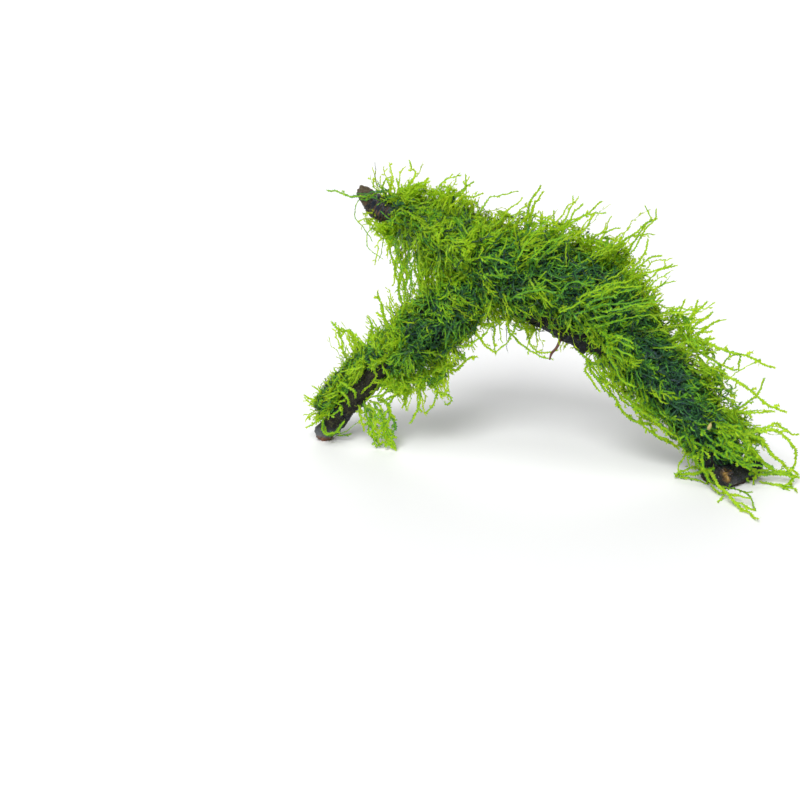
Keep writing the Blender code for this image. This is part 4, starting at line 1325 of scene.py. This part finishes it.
def hang_curtain(growth, settings):
    """Strands that hang from the stub's moss down to the left leg's."""
    draw = growth.draw
    top, low = np.array(CURTAIN_TOP, float), np.array(CURTAIN_END, float)
    knots = np.arange(len(top))
    for _ in range(CURTAIN_STRANDS):
        at = draw.random() * knots[-1]
        end_at = np.clip(at + draw.normal(0, 0.35), 0, knots[-1])
        start = [np.interp(at, knots, top[:, axis]) for axis in (0, 1)]
        end = [np.interp(end_at, knots, low[:, axis]) for axis in (0, 1)]
        depth = draw.uniform(-13, 20)
        a, b = np.array(seen_at(*start, depth)), np.array(seen_at(*end, depth + draw.normal(0, 3)))
        b = a + (b - a) * draw.uniform(0.5, 1.0)
        middle = [a + (b - a) * share + draw.normal(0, 3, 3) for share in (0.3, 0.7)]
        handles = np.array([a, *middle, b])[:, None]
        centre = wander(bezier(handles, joints_in(np.linalg.norm(b - a), settings)), draw, 0.8)
        add_free(growth, centre, settings, (0.2, -1.0, 0.2), 0.4, 0.66, 0.12, 0.75)


def grow_wad(name, wad, settings, material):
    """The strands of one wad: the tangle inside, the locks that cover it, and its sprigs."""
    growth = Growth(wad["seed"])
    clothe(growth, wad, "outer", settings, wad["line"], wad["outer"])
    clothe(growth, wad, "net", settings, wad["line"], wad["net"])
    for line, outer, net, fresher_and_lit in wad["rolls"]:
        clothe(growth, wad, "outer", settings, line, outer, fresher_and_lit, ROLL_START)
        clothe(growth, wad, "net", settings, line, net, fresher_and_lit, ROLL_START)
    settle(growth.make(name + "_cover"), material, name)
    growth = Growth(wad["seed"] + 30)
    clothe(growth, wad, "inner", settings, wad["line"], wad["inner"])
    settle(growth.make(name + "_tangle"), material)
    growth = Growth(wad["seed"] + 50)
    clothe(growth, wad, "sprigs", settings, wad["line"], wad["sprigs"])
    reach_tips(growth, wad, settings)
    trace_sprigs(growth, SPRIGS[name], settings, wad["line"])
    if name == "moss_stub":
        hang_curtain(growth, settings)
    settle(growth.make(name + "_sprays"), material)


def mat_of(name, line, share, material):
    """The dark inner mat of a wad."""
    item = tube(name, [(x, y, z, radius * share) for x, y, z, radius in line], 8, 5)
    remesh(item, 2.0)
    places = vertices_of(item)
    height = 3.4 * lumps(places, 13) + 1.8 * lumps(places, 4.5, 3)
    places = places + normals_of(item) * height[:, None]
    places[:, 2] = np.maximum(places[:, 2], 1.0)
    put_vertices(item, places)
    bpy.ops.object.shade_smooth()
    settle(item, material)


def lay_floor():
    """The plain floor."""
    deselect()
    bpy.ops.mesh.primitive_plane_add(size=FLOOR_SIZE, location=(0, 0, 0))
    floor = bpy.context.object
    floor.name = "floor"
    floor.data.materials.append(floor_material())


def light_scene(scene):
    """Soft white light from all round, and the three lights."""
    world = bpy.data.worlds.new("studio")
    world.use_nodes = True
    world.node_tree.nodes["Background"].inputs["Color"].default_value = (1.0, 1.0, 1.0, 1.0)
    world.node_tree.nodes["Background"].inputs["Strength"].default_value = SKY_STRENGTH
    scene.world = world
    for way, power, angle in LIGHTS:
        turn = Vector(way).to_track_quat("-Z", "Y").to_euler()
        bpy.ops.object.light_add(type="SUN", location=Vector(way) * -0.01, rotation=turn)
        light = bpy.context.object
        light.data.energy = power
        light.data.angle = math.radians(angle)


def place_camera(scene):
    """The camera, and how its picture is shown."""
    bpy.ops.object.camera_add(location=CAMERA_PLACE, rotation=(math.pi / 2 - CAMERA_DROP, 0, CAMERA_TURN))
    camera = bpy.context.object
    camera.data.lens = CAMERA_LENS
    camera.data.sensor_width = CAMERA_SENSOR
    scene.camera = camera
    scene.view_settings.view_transform = "Standard"


def length_setting(name, description, default):
    """A setting in metres."""
    return bpy.props.FloatProperty(name=name, description=description, default=default, unit="LENGTH")


def colour_setting(name, description, default):
    """A setting for a colour."""
    return bpy.props.FloatVectorProperty(name=name, description=description, default=default, subtype="COLOR")


class WoodSettings(bpy.types.PropertyGroup):
    """What can be changed on the driftwood."""

    relief: length_setting("Bark Relief", "How high the bark's ridges stand", 0.0012)
    skin: length_setting("Skin Size", "The size of the bark's faces", 0.0008)
    thread: length_setting("Thread Radius", "The radius of the tying thread", 0.00032)


class MossSettings(bpy.types.PropertyGroup):
    """What can be changed on the moss."""

    strand_width: length_setting("Strand Width", "A strand's width over its leaves", 0.00155)
    joint: length_setting("Joint", "How far apart the leaves stand on a strand", 0.00058)
    mat_share: bpy.props.FloatProperty(
        name="Mat Share",
        description="How much of a wad its dark inner mat fills",
        default=0.50,
        subtype="FACTOR",
    )
    # The root colour: partly the older stem's own dark colour, partly bluish painted shade for the depths of
    # the wad
    root_shade: colour_setting("Root Shade", "The colour of a strand at its root", (0.014, 0.026, 0.040))
    tip_colour: colour_setting("Tip Colour", "The colour of the youngest leaves", (0.74, 0.82, 0.12))
    glow_colour: colour_setting(
        "Glow Colour", "The colour of light that comes through a leaf", (0.74, 0.90, 0.04)
    )


class MOSSTREE_OT_wood(bpy.types.Operator):
    """Build the driftwood: trunk, stub, left leg and foot spur"""

    bl_idname = "mosstree.wood"
    bl_label = "Driftwood"

    def execute(self, context):
        settings = context.scene.mosstree_wood
        skin, relief = settings.skin / MM, settings.relief / MM
        barks = {name: bark_material(name, red, painted_glint) for name, (red, painted_glint) in BARKS.items()}
        for seed, (name, (line, knots, size, height, flat, bark)) in enumerate(LIMBS.items(), 1):
            item = limb(name + "_bark", line, knots, skin * size, relief * height, seed)
            if flat:
                stand_flat(item)
            settle(item, barks[bark], name)
        red_bark = plain_material("red_bark", (0.110, 0.035, 0.018), 0.5)
        small_thing("driftwood_trunk_twig", TWIG, 10, red_bark)
        paint_cut(bpy.data.objects["driftwood_foot_spur_bark"])
        return {"FINISHED"}


class MOSSTREE_OT_threads(bpy.types.Operator):
    """Wind the tying threads round the stub and the left leg"""

    bl_idname = "mosstree.threads"
    bl_label = "Binding Threads"

    def execute(self, context):
        radius = context.scene.mosstree_wood.thread / MM
        dark = plain_material("dark_thread", (0.010, 0.016, 0.030), 0.3)
        for name, line, ties, wood, slim in (
            ("binding_thread_stub", STUB, STUB_TIE, "driftwood_stub_bark", radius),
            ("binding_thread_leg", LEFT_LEG, LEG_TIE, "driftwood_left_leg_bark", radius * 0.6),
        ):
            skin = skin_of(bpy.data.objects[wood])
            lines = [winding(line, skin, tie, slim, 0.9 * number) for number, tie in enumerate(ties)]
            settle(thread(name + "_turns", lines), dark, name)
        return {"FINISHED"}


class MOSSTREE_OT_mats(bpy.types.Operator):
    """Lay the dark inner mats of moss on the wood"""

    bl_idname = "mosstree.mats"
    bl_label = "Inner Mats"

    def execute(self, context):
        share = context.scene.mosstree_moss.mat_share
        material = mat_material()
        for name, wad in WADS.items():
            mat_of(name + "_mat", wad["line"], share * wad["mat"], material)
        return {"FINISHED"}


class MOSSTREE_OT_moss(bpy.types.Operator):
    """Grow the strands of every wad of moss"""

    bl_idname = "mosstree.moss"
    bl_label = "Moss Strands"

    def execute(self, context):
        settings = context.scene.mosstree_moss
        material = moss_material(settings)
        for name, wad in WADS.items():
            grow_wad(name, wad, settings, material)
        for name, sprigs, seed in (("moss_hanging_tuft", BUNCH, 71), ("moss_foot_spray", FOOT_SPRAY, 72)):
            growth = Growth(seed)
            trace_sprigs(growth, sprigs, settings)
            settle(growth.make(name + "_strands"), material, name)
        cream = plain_material("cream_bud", (0.44, 0.38, 0.13), 0.5)
        small_thing("moss_right_leg_bud", BUD, 8, cream)
        return {"FINISHED"}


class MOSSTREE_OT_stage(bpy.types.Operator):
    """Set up the floor, the light and the camera"""

    bl_idname = "mosstree.stage"
    bl_label = "Floor, Light and Camera"

    def execute(self, context):
        lay_floor()
        light_scene(context.scene)
        place_camera(context.scene)
        return {"FINISHED"}


class MOSSTREE_PT_panel(bpy.types.Panel):
    """The buttons that build the moss tree"""

    bl_label = "Moss Tree"
    bl_idname = "MOSSTREE_PT_panel"
    bl_space_type = "VIEW_3D"
    bl_region_type = "UI"
    bl_category = "Moss Tree"

    def draw(self, context):
        layout = self.layout
        for settings in (context.scene.mosstree_wood, context.scene.mosstree_moss):
            for name in settings.bl_rna.properties.keys():
                if name not in ("rna_type", "name"):
                    layout.prop(settings, name)
        for operator in OPERATORS:
            layout.operator(operator.bl_idname)


OPERATORS = (
    MOSSTREE_OT_wood,
    MOSSTREE_OT_threads,
    MOSSTREE_OT_mats,
    MOSSTREE_OT_moss,
    MOSSTREE_OT_stage,
)
CLASSES = (WoodSettings, MossSettings, *OPERATORS, MOSSTREE_PT_panel)


def register():
    """Make the settings, the operators and the panel known."""
    for item in CLASSES:
        bpy.utils.register_class(item)
    bpy.types.Scene.mosstree_wood = bpy.props.PointerProperty(type=WoodSettings)
    bpy.types.Scene.mosstree_moss = bpy.props.PointerProperty(type=MossSettings)


def unregister():
    """Take them all away again."""
    del bpy.types.Scene.mosstree_moss
    del bpy.types.Scene.mosstree_wood
    for item in reversed(CLASSES):
        bpy.utils.unregister_class(item)


def main():
    """Make the settings known, and build everything."""
    register()
    bpy.ops.mosstree.wood()
    bpy.ops.mosstree.threads()
    bpy.ops.mosstree.mats()
    bpy.ops.mosstree.moss()
    bpy.ops.mosstree.stage()


if __name__ == "__main__":
    main()
